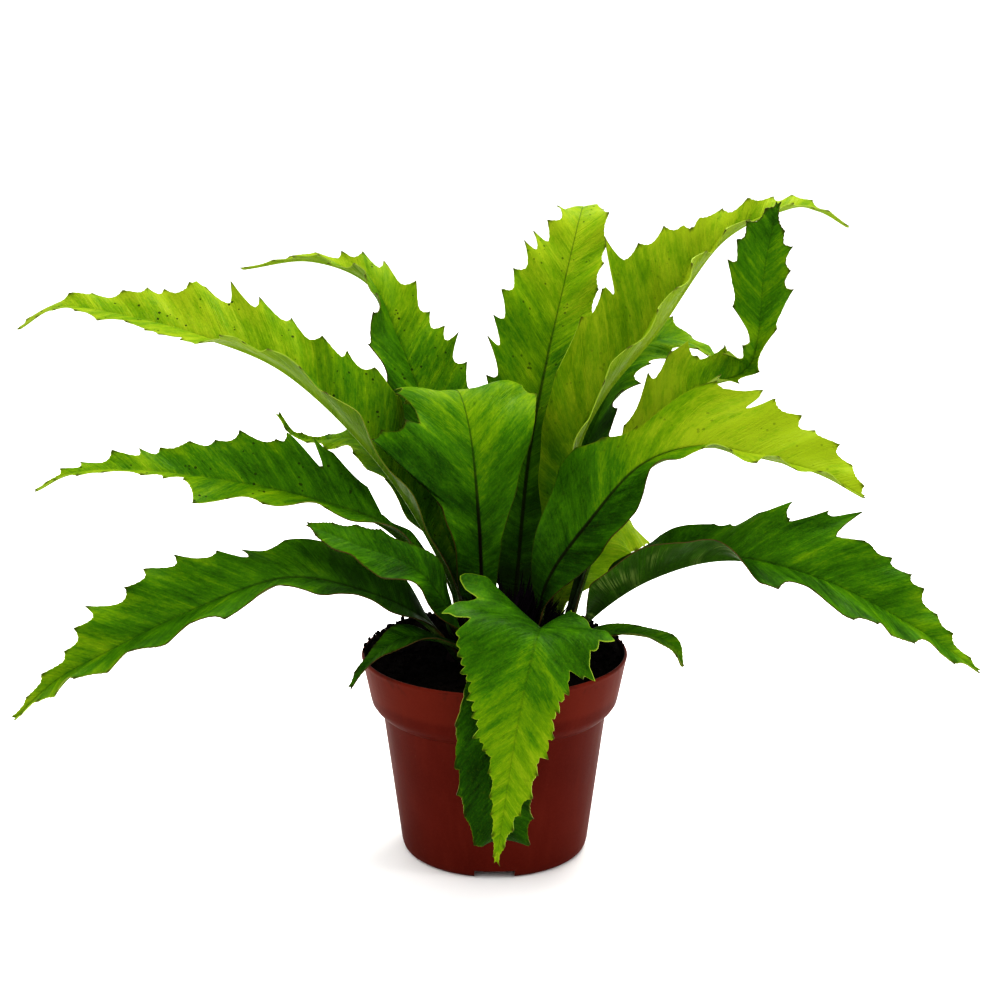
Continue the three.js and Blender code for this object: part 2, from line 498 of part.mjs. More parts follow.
// Pot: turned wall with a stepped collar, and drainage channels under the floor
function potGeometry() {
  const { height, rimRadius, wall, floor, baseRadius, footRadius, bodyRadius } = POT;
  const { collarFrom, collarRadius } = POT;
  const profile = [
    [0, 0], [baseRadius - 1.5, 0], [baseRadius + 0.6, 1.2], [footRadius, 4],
    [bodyRadius, collarFrom], [bodyRadius + 1.7, collarFrom + 1.1], [bodyRadius + 3.5, collarFrom + 3],
    [bodyRadius + 4.9, collarFrom + 5.1], [collarRadius, collarFrom + 7],
    [rimRadius - 0.4, height - 2.2], [rimRadius, height - 0.9], [rimRadius - 0.5, height],
    [rimRadius - wall, height], ...innerWall(0).reverse(), [0, floor],
  ].map(([r, z]) => new THREE.Vector2(r, z));
  let pot = solidOf(new THREE.LatheGeometry(profile, SECTORS).rotateX(Math.PI / 2));
  for (let i = 0; i < CHANNEL.count; i += 1) {
    const angle = -Math.PI / 2 + (2 * Math.PI * i) / CHANNEL.count;
    const reach = footRadius + 6 - CHANNEL.from;
    const channel = new THREE.BoxGeometry(reach, CHANNEL.width, 2 * CHANNEL.depth)
      .translate(CHANNEL.from + reach / 2, 0, 0).rotateZ(angle);
    const hole = new THREE.CylinderGeometry(CHANNEL.holeRadius, CHANNEL.holeRadius, 3 * floor, 12)
      .rotateX(Math.PI / 2).translate(CHANNEL.holeAt, 0, 0).rotateZ(angle);
    pot = pot.subtract(solidOf(channel)).subtract(solidOf(hole));
  }
  return geometryOf(pot);
}

// A round solid from rings of points, each ring given as (angle) => [radius, z]
function ringSolid(rings, sectors, bottom, top) {
  const positions = [0, 0, bottom];
  rings.forEach((ring) => {
    for (let k = 0; k < sectors; k += 1) {
      const angle = (2 * Math.PI * k) / sectors;
      const [radius, z] = ring(angle, k);
      positions.push(radius * Math.cos(angle), radius * Math.sin(angle), z);
    }
  });
  positions.push(0, 0, top);
  const faces = [];
  const point = (ring, k) => 1 + ring * sectors + (k % sectors);
  for (let k = 0; k < sectors; k += 1) {
    faces.push(0, point(0, k + 1), point(0, k));
    for (let ring = 0; ring < rings.length - 1; ring += 1) {
      faces.push(point(ring, k), point(ring, k + 1), point(ring + 1, k + 1));
      faces.push(point(ring, k), point(ring + 1, k + 1), point(ring + 1, k));
    }
    faces.push(point(rings.length - 1, k), point(rings.length - 1, k + 1), positions.length / 3 - 1);
  }
  const geometry = new THREE.BufferGeometry();
  geometry.setAttribute('position', new THREE.Float32BufferAttribute(positions, 3));
  geometry.setIndex(faces);
  return solidOf(geometry);
}

// Crown: a low rough dome, which grow makes larger all round
function crownSolid(grow) {
  const { radius, bottom, shoulder, top, sectors, lump } = CROWN;
  const bump = (ring, k) => lump * (draw(90 + ring, k) - 0.5) * 2;
  const rings = [
    [0.72, bottom], [0.95, bottom + 5], [1, shoulder - 6], [0.93, shoulder],
    [0.74, (shoulder + top) / 2 + 0.8], [0.42, top - 0.8],
  ].map(([share, z], ring) => (angle, k) =>
    [share * radius + grow + bump(ring, k), z + Math.sign(ring - 2) * grow + 0.5 * bump(ring + 9, k)]);
  return ringSolid(rings, sectors, bottom - grow, top + grow).translate([CROWN.x, CROWN.y, 0]);
}

// The plain hole that a frond's stalk stands in
function stalkHole(spec) {
  const spine = spineOf(spec);
  const half = STALK.halfWidth + 0.65;
  const section = [[half, 0.65], [-half, 0.65], [-half, -1.5], [-2.4, -STALK.depth - 0.65],
    [2.4, -STALK.depth - 0.65], [half, -1.5]];
  const rows = [-0.4, 8, 16, 24, 32].map((s) => {
    const { place, side, face } = spine.at(s);
    return section.map(([x, y]) => place.clone().addScaledVector(side, x).addScaledVector(face, y));
  });
  const positions = rows.flat().flatMap((p) => [p.x, p.y, p.z]);
  const n = section.length;
  const faces = [];
  for (let i = 0; i < rows.length - 1; i += 1) {
    for (let j = 0; j < n; j += 1) {
      const [a, b] = [i * n + j, i * n + ((j + 1) % n)];
      faces.push(a, b, b + n, a, b + n, a + n);
    }
  }
  const end = (rows.length - 1) * n;
  for (let j = 1; j < n - 1; j += 1) faces.push(0, j + 1, j, end, end + j, end + j + 1);
  const geometry = new THREE.BufferGeometry();
  geometry.setAttribute('position', new THREE.Float32BufferAttribute(positions, 3));
  geometry.setIndex(faces);
  return solidOf(geometry);
}

// Soil: fills the pot inside its wall, with a crumbly top that is a little higher at the back
function soilGeometry() {
  const topAt = (radius, angle) => SOIL.top + SOIL.dome * (1 - (radius / POT.rimRadius) ** 2)
    + SOIL.slope * radius * Math.sin(angle);
  const rough = (ring, k) => SOIL.crumb * 2 * (draw(70 + ring, k) - 0.5);
  const wallRings = innerWall(GAP).slice(0, -1).map(([radius, z]) => () => [radius, z]);
  const rimInner = POT.rimRadius - POT.wall - 0.4 - GAP;
  const topRings = [rimInner - 1.5, 53, 48.5, 44, 39.5, 34.5, 26].map((radius, ring) => (angle, k) =>
    [radius, ring === 0 ? POT.height - 4.5 + 1.2 * Math.sin(angle) : topAt(radius, angle) + rough(ring, k)]);
  const soil = ringSolid([...wallRings, ...topRings], SECTORS, POT.floor + GAP, SOIL.top + SOIL.dome);
  return geometryOf(soil.subtract(crownSolid(GAP + 0.05)));
}

function crownGeometry() {
  const holes = wasm.Manifold.union(FRONDS.map(stalkHole));
  const pieces = crownSolid(0).subtract(holes).decompose();
  const largest = pieces.reduce((a, b) => (a.volume() > b.volume() ? a : b));
  return geometryOf(largest);
}

const MATERIALS = {
  pot: new THREE.MeshStandardMaterial({ color: 0x7a2a18, roughness: 0.42, metalness: 0 }),
  soil: new THREE.MeshStandardMaterial({ color: 0x1c120d, roughness: 0.95, metalness: 0 }),
  crown: new THREE.MeshStandardMaterial({ color: 0x2a1a10, roughness: 0.9, metalness: 0 }),
  frond: new THREE.MeshStandardMaterial({
    color: 0x4f9a10, roughness: 0.38, metalness: 0, side: THREE.DoubleSide,
  }),
};

function piece(name, geometry, material) {
  const mesh = new THREE.Mesh(geometry, material);
  mesh.name = name;
  return mesh;
}

const fern = new THREE.Group();
fern.name = 'potted_birds_nest_fern';
fern.add(piece('pot', potGeometry(), MATERIALS.pot));
fern.add(piece('soil', soilGeometry(), MATERIALS.soil));
fern.add(piece('crown', crownGeometry(), MATERIALS.crown));
for (const spec of FRONDS) {
  const { rows, depths } = frondRows(spec);
  fern.add(piece(spec.name, plate(rows, depths), MATERIALS.frond));
}

export default fern;
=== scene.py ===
import math

import bmesh
import bpy
import numpy as np
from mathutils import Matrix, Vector, noise


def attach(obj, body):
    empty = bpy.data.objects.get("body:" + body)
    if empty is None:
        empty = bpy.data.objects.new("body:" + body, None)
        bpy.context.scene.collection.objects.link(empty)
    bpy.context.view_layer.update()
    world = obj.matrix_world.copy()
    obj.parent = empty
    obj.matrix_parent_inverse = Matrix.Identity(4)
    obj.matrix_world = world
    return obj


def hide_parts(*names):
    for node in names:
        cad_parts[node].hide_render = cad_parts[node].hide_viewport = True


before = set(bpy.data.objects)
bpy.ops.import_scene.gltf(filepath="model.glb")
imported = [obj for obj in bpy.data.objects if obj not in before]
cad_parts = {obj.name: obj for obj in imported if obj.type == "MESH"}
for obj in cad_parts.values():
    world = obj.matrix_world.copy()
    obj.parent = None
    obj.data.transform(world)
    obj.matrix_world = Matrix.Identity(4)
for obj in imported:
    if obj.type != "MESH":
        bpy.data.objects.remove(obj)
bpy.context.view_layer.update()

MM = 0.001
TURN = 2 * math.pi

# Sizes that the frame's source states too
POT = dict(height=93, rim=60, wall=1.3, floor=6, base=41, foot=42.5, body=50.6,
           collar_from=66, collar=56)
CHANNEL = dict(width=18, depth=3.9, count=3, start=13, hole=4, hole_at=27)
SOIL = dict(top=91, dome=1, slope=0.055, gap=0.35)
CROWN = dict(x=7, y=0, radius=29, top=106)
STALK = dict(half=4.2, depth=3, length=18, flare=12)
TEETH = dict(pitch=6.6, plain=14, start=0.24, jitter=0.35, end=3)
RIPPLE = dict(height=2.2, length=31, power=1.6)
BLADE = dict(tip=0.9, rib_tip=0.9, rise=0.7, fall=1.7, taper=1.5)

# Sizes of the finer blades: the web is thinner than in the frame, and a row of points crosses
# the blade every STEP, with close points by the midrib and WEB_POINTS from there to the margin
WEB = 0.45
STEP = 0.8
RIB_POINTS = np.array([0, 0.45, 0.9, 1.4, 2.2])
RIB_SHARES = np.array([0, 0.1, 0.2, 0.3, 0.42])
WEB_POINTS = 13
MIDRIB_STEPS = 2401

# The fronds, with the values that the frame's source gives them. Each table goes by the part
# of the frond's length. spine is the midrib's route, roll turns the blade about it, left and
# right are the angles of the halves above flat at the rib, seen along the frond, and Bend is
# the further angle gained up to the edge. Widths end at the tip; without them a half has a
# plain outline. Lobes are [place, spread, share of the width added], and Spikes are long
# single teeth, or notches below 0: [place, reach, spread].
LEVEL = {0: 0, 1: 0}
FRONDS = [
    dict(name="upper_left", halfWidth=27, widest=0.56, taper=1.3, seed=11, tooth=5, leftTooth=2.5,
        spine=[[-6, 2, 92], [-19, 5, 127], [-48, 10, 175], [-91, 20, 216], [-133, 31, 232], [-177, 41, 241],
        [-200, 46, 242], [-217, 49, 232]],
        left={0.15: 20, 0.45: 32, 0.6: 26, 0.72: -5, 1: -10},
        right={0.15: 25, 0.45: 52, 0.7: 45, 1: 20},
        leftLobes=[[0.8, 0.2, -0.35]],
        rightWidths={0.1: 5, 0.2: 10, 0.3: 17, 0.39: 25.5, 0.44: 27.5, 0.48: 24, 0.56: 20.5, 0.62: 24,
        0.68: 23.5, 0.72: 22.5, 0.78: 17.5, 0.84: 12.5, 0.9: 8, 0.95: 4.5},
        rightSpikes=[[0.72, 4, 0.02], [0.66, 4, 0.02]]),
    dict(name="back_left", halfWidth=26, widest=0.5, taper=1.8, seed=12, tooth=6, leftTooth=3,
        spine=[[-1, 18, 92], [-10, 28, 128], [-27, 56, 177], [-44, 76, 219], [-59, 92, 245],
        [-88, 103, 255], [-121, 110, 250]],
        left={0.2: 15, 0.45: 4, 0.6: 14, 0.68: 38, 1: 20},
        rightWidths={0.1: 5, 0.18: 9.5, 0.25: 15, 0.32: 19.5, 0.4: 24, 0.5: 25.5, 0.55: 24.5, 0.58: 22.5,
        0.61: 18.5, 0.7: 16.5, 0.75: 13.5, 0.8: 8.5, 0.86: 6, 0.93: 3},
        right={0.2: 20, 0.5: 35, 0.8: 30, 1: 0}),
    dict(name="centre", seed=13, tooth=3,
        spine=[[0, 3, 92], [-5, 4, 115], [-7, 6, 152], [-10, 11, 186], [-15, 24, 205], [-20, 40, 204],
        [-25, 54, 195]],
        leftWidths={0.08: 7, 0.2: 12, 0.34: 16, 0.46: 19, 0.52: 27, 0.6: 44, 0.64: 49, 0.69: 26, 0.74: 25,
        0.79: 28, 0.83: 26, 0.9: 18},
        rightWidths={0.1: 6, 0.2: 7, 0.34: 10, 0.46: 17, 0.6: 26, 0.67: 31, 0.76: 35, 0.83: 32, 0.9: 22},
        leftBend={0.2: 0, 0.6: 0, 0.8: -15, 1: -20},
        left={0.2: 15, 0.6: 10, 0.8: 10, 1: 0},
        rightBend={0.2: 0, 0.6: 0, 0.8: -8, 1: -20},
        right={0.2: 20, 0.6: 16, 0.8: 6, 1: 0},
        leftSpikes=[[0.635, 3, 0.03], [0.79, 1, 0.03]]),
    dict(name="back_tall", heading=97, seed=14, tooth=5.5, rightTooth=3,
        spine=[[8, 13, 92], [11, 28, 127], [16, 54, 170], [24, 71, 210], [33, 90, 246], [40, 108, 272],
        [43, 124, 278], [45, 142, 271]],
        leftWidths={0.08: 9, 0.3: 17, 0.45: 23, 0.55: 26, 0.65: 25.5, 0.72: 22, 0.79: 15.5, 0.86: 11,
        0.93: 6.5},
        rightWidths={0.08: 8, 0.3: 13, 0.5: 19, 0.65: 17, 0.75: 15.5, 0.82: 14.5, 0.88: 11.5, 0.93: 7},
        left={0.2: 15, 0.6: 12, 1: 0},
        right={0.2: 15, 0.5: 25, 0.8: 15, 1: 0}),
    dict(name="upper_right", seed=15, tooth=4, rightTooth=3,
        spine=[[19, 8, 92], [27, 18, 128], [36, 37, 174], [50, 44, 202], [74, 51, 230], [104, 65, 269],
        [136, 78, 283], [152, 86, 281], [166, 91, 273]],
        leftWidths={0.1: 7, 0.3: 15, 0.4: 22, 0.5: 29, 0.55: 30, 0.59: 31, 0.62: 35, 0.66: 28, 0.7: 23,
        0.74: 15.5, 0.77: 13, 0.81: 9.5, 0.85: 8.5, 0.89: 7, 0.94: 4},
        rightWidths={0.1: 4.2, 0.3: 13, 0.42: 19.5, 0.55: 27, 0.64: 25, 0.68: 19, 0.71: 12, 0.76: 9,
        0.85: 7, 0.93: 4},
        left={0.2: 20, 0.4: 58, 0.6: 62, 0.75: 50, 1: 20},
        right={0.2: 20, 0.45: 42, 0.7: 40, 1: 0},
        leftSpikes=[[0.585, -5, 0.02], [0.615, 7, 0.02], [0.735, -4, 0.012]]),
    dict(name="right_upturned", seed=16, tooth=5,
        spine=[[29, 7, 92], [41, 14, 128], [62, 34, 174], [92, 48, 202], [114, 53, 210], [120, 48, 224],
        [122, 43, 260], [127, 43, 289]],
        roll={0: 0, 0.6: 0, 0.74: 60, 1: 65},
        leftWidths={0.1: 4.2, 0.34: 5.5, 0.42: 9.5, 0.48: 14, 0.54: 19, 0.58: 18, 0.61: 14.5, 0.66: 13.5,
        0.7: 5, 0.74: 5, 0.8: 10, 0.85: 14.5, 0.91: 15, 0.96: 11},
        rightWidths={0.1: 4.2, 0.3: 9, 0.46: 14, 0.58: 9, 0.66: 4.5, 0.74: 5, 0.8: 10, 0.86: 12, 0.92: 8},
        left={0.2: 20, 0.45: 60, 0.65: 50, 0.8: 10, 1: 10},
        right={0.2: 20, 0.5: 20, 1: 10},
        leftSpikes=[[0.575, 7, 0.025], [0.6, -2, 0.02]]),
    dict(name="right_bright", seed=17, tooth=4, rightTooth=1.5,
        spine=[[17, -4, 92], [23, -3, 125], [42, 0, 153], [65, 4, 178], [92, 4, 187], [117, 1, 183],
        [142, -4, 177], [162, -8, 167]],
        roll={0: 0, 0.22: 38, 0.5: 30, 1: 28},
        leftWidths={0.1: 6, 0.2: 14, 0.3: 24, 0.38: 32, 0.43: 30, 0.46: 23, 0.53: 17, 0.56: 19.5, 0.61: 25,
        0.66: 29, 0.71: 31, 0.74: 28, 0.81: 25, 0.85: 19.5, 0.9: 16.5, 0.95: 12},
        rightWidths={0.1: 4.2, 0.2: 11, 0.3: 17, 0.42: 18.5, 0.5: 17.5, 0.62: 20, 0.75: 17, 0.9: 8},
        left={0.2: 10, 0.6: 22, 1: 20},
        right={0.2: -10, 0.35: -5, 0.45: 8, 0.56: 38, 1: 40},
        leftSpikes=[[0.715, 3, 0.02], [0.74, -6, 0.015]]),
    dict(name="right_low", seed=18, tooth=3, rightTooth=2.5,
        spine=[[31, -1, 92], [41, -6, 111], [68, -16, 133], [102, -25, 144], [141, -35, 137],
        [179, -43, 119], [208, -48, 100]],
        leftWidths={0.1: 4.2, 0.17: 20, 0.3: 23, 0.42: 18, 0.48: 16, 0.52: 18, 0.58: 21, 0.65: 21,
        0.7: 22.5, 0.76: 20, 0.81: 16, 0.86: 12, 0.9: 7, 0.95: 4},
        rightWidths={0.1: 4.2, 0.18: 16.5, 0.3: 19, 0.45: 19, 0.53: 21, 0.58: 17.5, 0.63: 18.5, 0.69: 22,
        0.75: 21.5, 0.82: 15.5, 0.9: 9},
        left={0.2: 28, 0.42: 36, 0.54: 60, 0.75: 58, 1: 40},
        right={0.15: 45, 0.4: 45, 0.53: -5, 1: -5},
        leftSpikes=[[0.43, 3.5, 0.03], [0.495, 13, 0.05], [0.565, 9.5, 0.024], [0.6, 14, 0.042]]),
    dict(name="back_right_low", seed=19, tooth=2,
        spine=[[22, 16, 92], [32, 22, 115], [46, 38, 132], [55, 50, 138], [64, 60, 135], [74, 70, 124]],
        leftWidths={0.12: 4.2, 0.35: 6, 0.5: 10, 0.68: 11, 0.85: 6, 0.95: 2.5},
        rightWidths={0.1: 4.2, 0.3: 12, 0.45: 16, 0.6: 18, 0.75: 17, 0.88: 11},
        left={0.2: 30, 1: 30},
        right={0.2: -10, 0.5: -55, 1: -55}),
    dict(name="back_right", halfWidth=16, widest=0.6, taper=1.2, seed=20, tooth=5,
        spine=[[12, 21, 92], [24, 36, 126], [41, 62, 169], [59, 77, 204], [78, 84, 220], [100, 90, 214],
        [114, 98, 198]],
        left={0.2: 20, 0.7: 20, 0.85: 40, 1: 30},
        rightWidths={0.1: 4.2, 0.3: 5, 0.4: 12, 0.47: 18, 0.55: 19, 0.6: 14, 0.66: 11, 0.79: 11.5, 0.86: 9,
        0.93: 4},
        right={0.2: 20, 0.6: 20, 0.75: -20, 1: -20}),
    dict(name="back_left_low", seed=21, tooth=2,
        spine=[[-11, 12, 92], [-21, 30, 126], [-43, 54, 158], [-64, 70, 174], [-84, 81, 172],
        [-96, 87, 173], [-104, 91, 182]],
        leftWidths={0.1: 4.2, 0.3: 9.5, 0.5: 15, 0.6: 15, 0.7: 12, 0.78: 8, 0.85: 3.5, 0.92: 1.5},
        rightWidths={0.1: 4.2, 0.3: 9, 0.5: 13, 0.62: 12, 0.7: 9, 0.76: 5.5, 0.82: 2.5, 0.9: 1.2},
        left={0.2: 20, 0.6: 10, 0.8: -20, 1: -20},
        right={0.2: 30, 1: 40}),
    dict(name="left_mid", seed=22, tooth=4, leftTooth=2,
        spine=[[-15, 0, 92], [-26, -5, 128], [-46, -9, 153], [-72, -13, 165], [-106, -18, 175],
        [-150, -25, 183], [-180, -29, 183], [-196, -31, 176]],
        leftWidths={0.2: 4.2, 0.3: 7, 0.4: 13, 0.5: 16, 0.6: 17, 0.66: 18, 0.695: 18, 0.72: 4, 0.8: 3.2,
        0.9: 3},
        rightWidths={0.14: 4.2, 0.2: 7, 0.27: 6, 0.31: 3.5, 0.35: 4.5, 0.362: 14.5, 0.38: 16, 0.46: 23,
        0.5: 25, 0.575: 22, 0.64: 20, 0.69: 16, 0.765: 11, 0.86: 6.5, 0.91: 4.5, 0.95: 2},
        left={0.2: 15, 0.45: 0, 0.55: -5, 0.65: -20, 0.75: -12, 1: 0},
        right={0.2: 30, 0.5: 58, 0.8: 45, 1: 20},
        rightSpikes=[[0.485, 3, 0.02], [0.505, -12, 0.02], [0.527, 5, 0.02]]),
    dict(name="left_low", seed=23, tooth=5, leftTooth=2.5,
        spine=[[-13, -11, 92], [-31, -18, 114], [-59, -30, 131], [-90, -40, 139], [-126, -50, 129],
        [-160, -58, 114], [-185, -63, 101], [-203, -66, 85]],
        leftWidths={0.1: 4.2, 0.2: 13, 0.3: 16, 0.45: 16, 0.57: 21, 0.65: 23, 0.75: 19, 0.85: 15, 0.9: 11,
        0.95: 5},
        rightWidths={0.08: 4.2, 0.13: 13, 0.2: 18, 0.3: 22, 0.36: 21, 0.42: 19, 0.5: 16, 0.57: 23, 0.65: 24,
        0.7: 18, 0.79: 17, 0.83: 12, 0.87: 6, 0.95: 3},
        left={0.15: -5, 0.35: -2, 0.5: 2, 1: 0},
        right={0.2: 35, 0.5: 38, 0.7: 62, 1: 50}),
    dict(name="left_short", seed=24, tooth=1,
        spine=[[-8, -5, 92], [-19, -22, 118], [-34, -32, 141], [-58, -38, 153], [-79, -41, 163]],
        roll={0: 0, 0.4: -35, 1: -40},
        leftWidths={0.15: 4.2, 0.3: 11, 0.5: 14, 0.7: 13.5, 0.85: 10, 0.95: 5},
        rightWidths={0.12: 4.2, 0.22: 10, 0.4: 13, 0.65: 11, 0.85: 8, 0.95: 4},
        left={0.2: 5, 1: 5},
        right={0.2: 15, 1: 15}),
    dict(name="left_tiny", halfWidth=8, widest=0.5, seed=25, tooth=0.6,
        spine=[[-6, -21, 92], [-13, -25, 103], [-28, -32, 110], [-43, -38, 110], [-56, -43, 100],
        [-62, -46, 92]],
        left={0.2: 0, 1: 0},
        right={0.2: 25, 1: 25}),
    dict(name="right_tiny", halfWidth=5, widest=0.75, taper=0.8, seed=26, tooth=0.6,
        spine=[[28, -14, 92], [35, -14, 103], [46, -15, 107], [64, -18, 107], [78, -21, 103],
        [83, -23, 94]],
        left={0.2: 30, 1: 30},
        right={0.2: 0, 1: 0}),
    dict(name="front_bright", seed=27, tooth=2, pitch=0.75,
        spine=[[19, -15, 92], [21, -24, 109], [20, -44, 118], [18, -68, 123], [15, -80, 114], [10, -90, 92],
        [5, -99, 63], [1, -104, 36]],
        rightWidths={0.12: 4.2, 0.18: 20, 0.24: 29, 0.3: 37, 0.4: 36, 0.5: 30.5, 0.6: 22, 0.7: 15,
        0.75: 9.5, 0.8: 7, 0.9: 4},
        leftWidths={0.12: 4.2, 0.17: 9, 0.22: 13.5, 0.27: 17, 0.33: 21, 0.38: 27, 0.42: 31, 0.46: 25,
        0.5: 23, 0.53: 19, 0.62: 15.5, 0.7: 14.5, 0.8: 10, 0.9: 5},
        right={0.15: 48, 0.26: 37, 0.38: 22, 0.55: 12, 1: 5},
        left={0.15: 52, 0.22: 42, 0.28: 25, 0.36: 2, 0.55: 8, 1: 5},
        rightSpikes=[[0.31, 3, 0.03], [0.36, -8, 0.03], [0.41, 5, 0.02], [0.445, -5, 0.02]],
        leftSpikes=[[0.42, 3, 0.02], [0.49, 5, 0.02], [0.52, -2, 0.02]]),
    dict(name="front_dark", halfWidth=15, widest=0.7, taper=0.6, seed=28, tooth=2,
        spine=[[6, -22, 92], [5, -27, 106], [2, -48, 111], [-1, -68, 102], [-2, -78, 80], [1, -80, 52],
        [4, -75, 35], [6, -67, 30], [6, -59, 33]],
        left={0.2: 10, 1: 5},
        right={0.2: 10, 1: 5}),
]

# Each frond's tone from dark green at 0 to yellow-green at 1 at TONE_PLACES along it,
# how dark its midrib is, how spotted it is, and how strongly its web is pleated. The tone is
# partly the leaf's own colour and partly painted light and shade: low at the crown, where
# shade falls, and higher or lower frond by frond as each one is lit or shaded
TONE_PLACES = (0.05, 0.4, 0.65, 0.95)
TONES_AND_SHADE = {
    "upper_left": (0.36, 0.58, 0.84, 0.86, 0.2, 1.0, 2.4),
    "back_left": (0.16, 0.4, 0.66, 0.92, 0.2, 1.0, 1.4),
    "centre": (0.16, 0.36, 0.6, 0.7, 1.0, 0.2, 1.0),
    "back_tall": (0.15, 0.46, 0.76, 0.92, 0.8, 0.7, 1.6),
    "upper_right": (0.34, 0.78, 0.86, 0.93, 0.2, 0.3, 2.0),
    "right_upturned": (0.2, 1.0, 0.6, 0.34, 0.3, 0.1, 2.2),
    "right_bright": (0.12, 0.4, 0.95, 0.98, 0.8, 0.35, 1.5),
    "right_low": (0.12, 0.3, 0.42, 0.52, 0.3, 0.1, 1.4),
    "back_right_low": (0.7, 0.82, 0.85, 0.9, 0.0, 0.1, 1.0),
    "back_right": (0.1, 0.22, 0.55, 0.7, 0.1, 0.1, 1.0),
    "back_left_low": (0.3, 0.5, 0.6, 0.6, 0.1, 0.0, 1.0),
    "left_mid": (0.14, 0.42, 0.54, 0.72, 0.2, 1.0, 1.2),
    "left_low": (0.14, 0.38, 0.47, 0.66, 0.4, 0.1, 1.4),
    "left_short": (0.12, 0.22, 0.3, 0.38, 0.2, 0.0, 0.4),
    "left_tiny": (0.15, 0.2, 0.3, 0.3, 0.0, 0.0, 0.3),
    "right_tiny": (0.3, 0.42, 0.45, 0.5, 0.0, 0.0, 0.3),
    "front_bright": (0.08, 0.42, 0.66, 0.7, 0.1, 0.1, 1.8),
    "front_dark": (0.08, 0.14, 0.18, 0.2, 0.2, 0.0, 1.0),
}
# Painted light and shade added to the tone of a frond's left and right half: one half lit, the other shaded
SIDE_LIGHT_AND_SHADE = {
    "back_left": (-0.14, 0.06), "right_bright": (0.1, -0.12), "centre": (-0.05, 0.05),
    "upper_left": (-0.04, 0.04), "left_low": (-0.05, 0.05), "left_mid": (0.05, -0.03),
}
# Fronds with a pale margin whatever their tone
PALE_MARGINS = {"front_bright": 1.0, "front_dark": 0.5}
# Small rounded teeth between the drawn ones, in millimetres
SCALLOPS = {"front_bright": (1.7, 4.3), "front_dark": (0.7, 5.0)}


def draw(seed, index):
    """A repeatable draw from 0 to 1, as the frame's source makes it."""
    value = np.sin(seed * 12.9898 + np.asarray(index) * 78.233) * 43758.5453
    return value - np.floor(value)


def smooth(x):
    """An eased step from 0 to 1."""
    u = np.clip(x, 0.0, 1.0)
    return u * u * (3 - 2 * u)


def keyed(rows, t):
    """The value at t of rows {place: value}, eased from row to row."""
    t = np.asarray(t, float)
    at, value = [np.array(list(v), float) for v in (rows, rows.values())]
    k = np.clip(np.searchsorted(at, t, side="left") - 1, 0, len(rows) - 2)
    span = np.maximum(at[k + 1] - at[k], 1e-6)
    return value[k] + (value[k + 1] - value[k]) * smooth((t - at[k]) / span)


def wander(x, seed):
    """A smooth uneven wave between -1 and 1, with its turns about 3 apart in x."""
    drift = x + 0.9 * np.sin(0.37 * x + seed)
    broad = 0.55 * np.sin(drift + 1.7 * seed)
    middling = 0.3 * np.sin(1.83 * drift + 0.6 * seed)
    return broad + middling + 0.15 * np.sin(3.1 * x + seed)


def half_name(sign):
    """A half's name in the list of fronds; sign is +1 on the left."""
    return "left" if sign > 0 else "right"


class Spine:
    """A frond's midrib: a Catmull-Rom curve through its points, by length along it."""

    def __init__(self, spec):
        points = np.array(spec["spine"], float)
        last = len(points) - 1
        whole = np.vstack([2 * points[0] - points[1], points, 2 * points[-1] - points[-2]])
        u = np.linspace(0, last, MIDRIB_STEPS)
        k = np.minimum(u.astype(int), last - 1)
        w = (u - k)[:, None]
        p0, p1, p2, p3 = whole[k], whole[k + 1], whole[k + 2], whole[k + 3]
        t0, t1 = 0.5 * (p2 - p0), 0.5 * (p3 - p1)
        square = -3 * p1 + 3 * p2 - 2 * t0 - t1
        cube = 2 * p1 - 2 * p2 + t0 + t1
        self.place = p1 + t0 * w + square * w ** 2 + cube * w ** 3
        steps = np.linalg.norm(np.diff(self.place, axis=0), axis=1)
        self.s = np.concatenate([[0], np.cumsum(steps)])
        self.length = self.s[-1]
        tangent = np.gradient(self.place, self.s, axis=0)
        self.tangent = tangent / np.linalg.norm(tangent, axis=1)[:, None]
        if "heading" in spec:
            turn = math.radians(spec["heading"])
            out = np.array([math.cos(turn), math.sin(turn), 0.0])
        else:
            out = points[-1] - points[0]
            out[2] = 0
            out /= np.linalg.norm(out)
        self.across = np.array([-out[1], out[0], 0.0])
        self.roll = spec.get("roll", LEVEL)

    def at(self, s):
        """Place, side and upper face direction at lengths s along the midrib."""
        shape = np.shape(s)
        s = np.ravel(s)
        inside = np.clip(s, 0, self.length)
        place, tangent = [np.stack([np.interp(inside, self.s, line[:, i]) for i in range(3)], 1)
                          for line in (self.place, self.tangent)]
        tangent /= np.linalg.norm(tangent, axis=1)[:, None]
        place = place + tangent * (s - inside)[:, None]
        side = self.across - tangent * (tangent @ self.across)[:, None]
        side /= np.linalg.norm(side, axis=1)[:, None]
        face = np.cross(tangent, side)
        turn = np.radians(keyed(self.roll, inside / self.length))[:, None]
        turned = side * np.cos(turn) + face * np.sin(turn)
        faced = face * np.cos(turn) - side * np.sin(turn)
        return [v.reshape(shape + (3,)) for v in (place, turned, faced)]


def outline(spec, length, t, sign):
    """Width of one half of the blade without teeth, at a part t of its length."""
    t = np.asarray(t, float)
    widths = spec.get(half_name(sign) + "Widths")
    if widths:
        flare = smooth((t * length - STALK["length"]) / STALK["flare"])
        plain = np.interp(t, [*widths, 1], [*widths.values(), BLADE["tip"]])
        return STALK["half"] + (plain - STALK["half"]) * flare
    end = STALK["length"] / length
    widest, half = spec["widest"], spec["halfWidth"]
    rise = smooth((t - end) / (widest - end)) ** BLADE["rise"]
    beyond = np.clip((t - widest) / (1 - widest), 0, 1)
    fall = (1 - beyond ** BLADE["fall"]) ** spec.get("taper", BLADE["taper"])
    rising = STALK["half"] + (half - STALK["half"]) * rise
    falling = BLADE["tip"] + (half - BLADE["tip"]) * fall
    return np.where(t < widest, rising, falling)


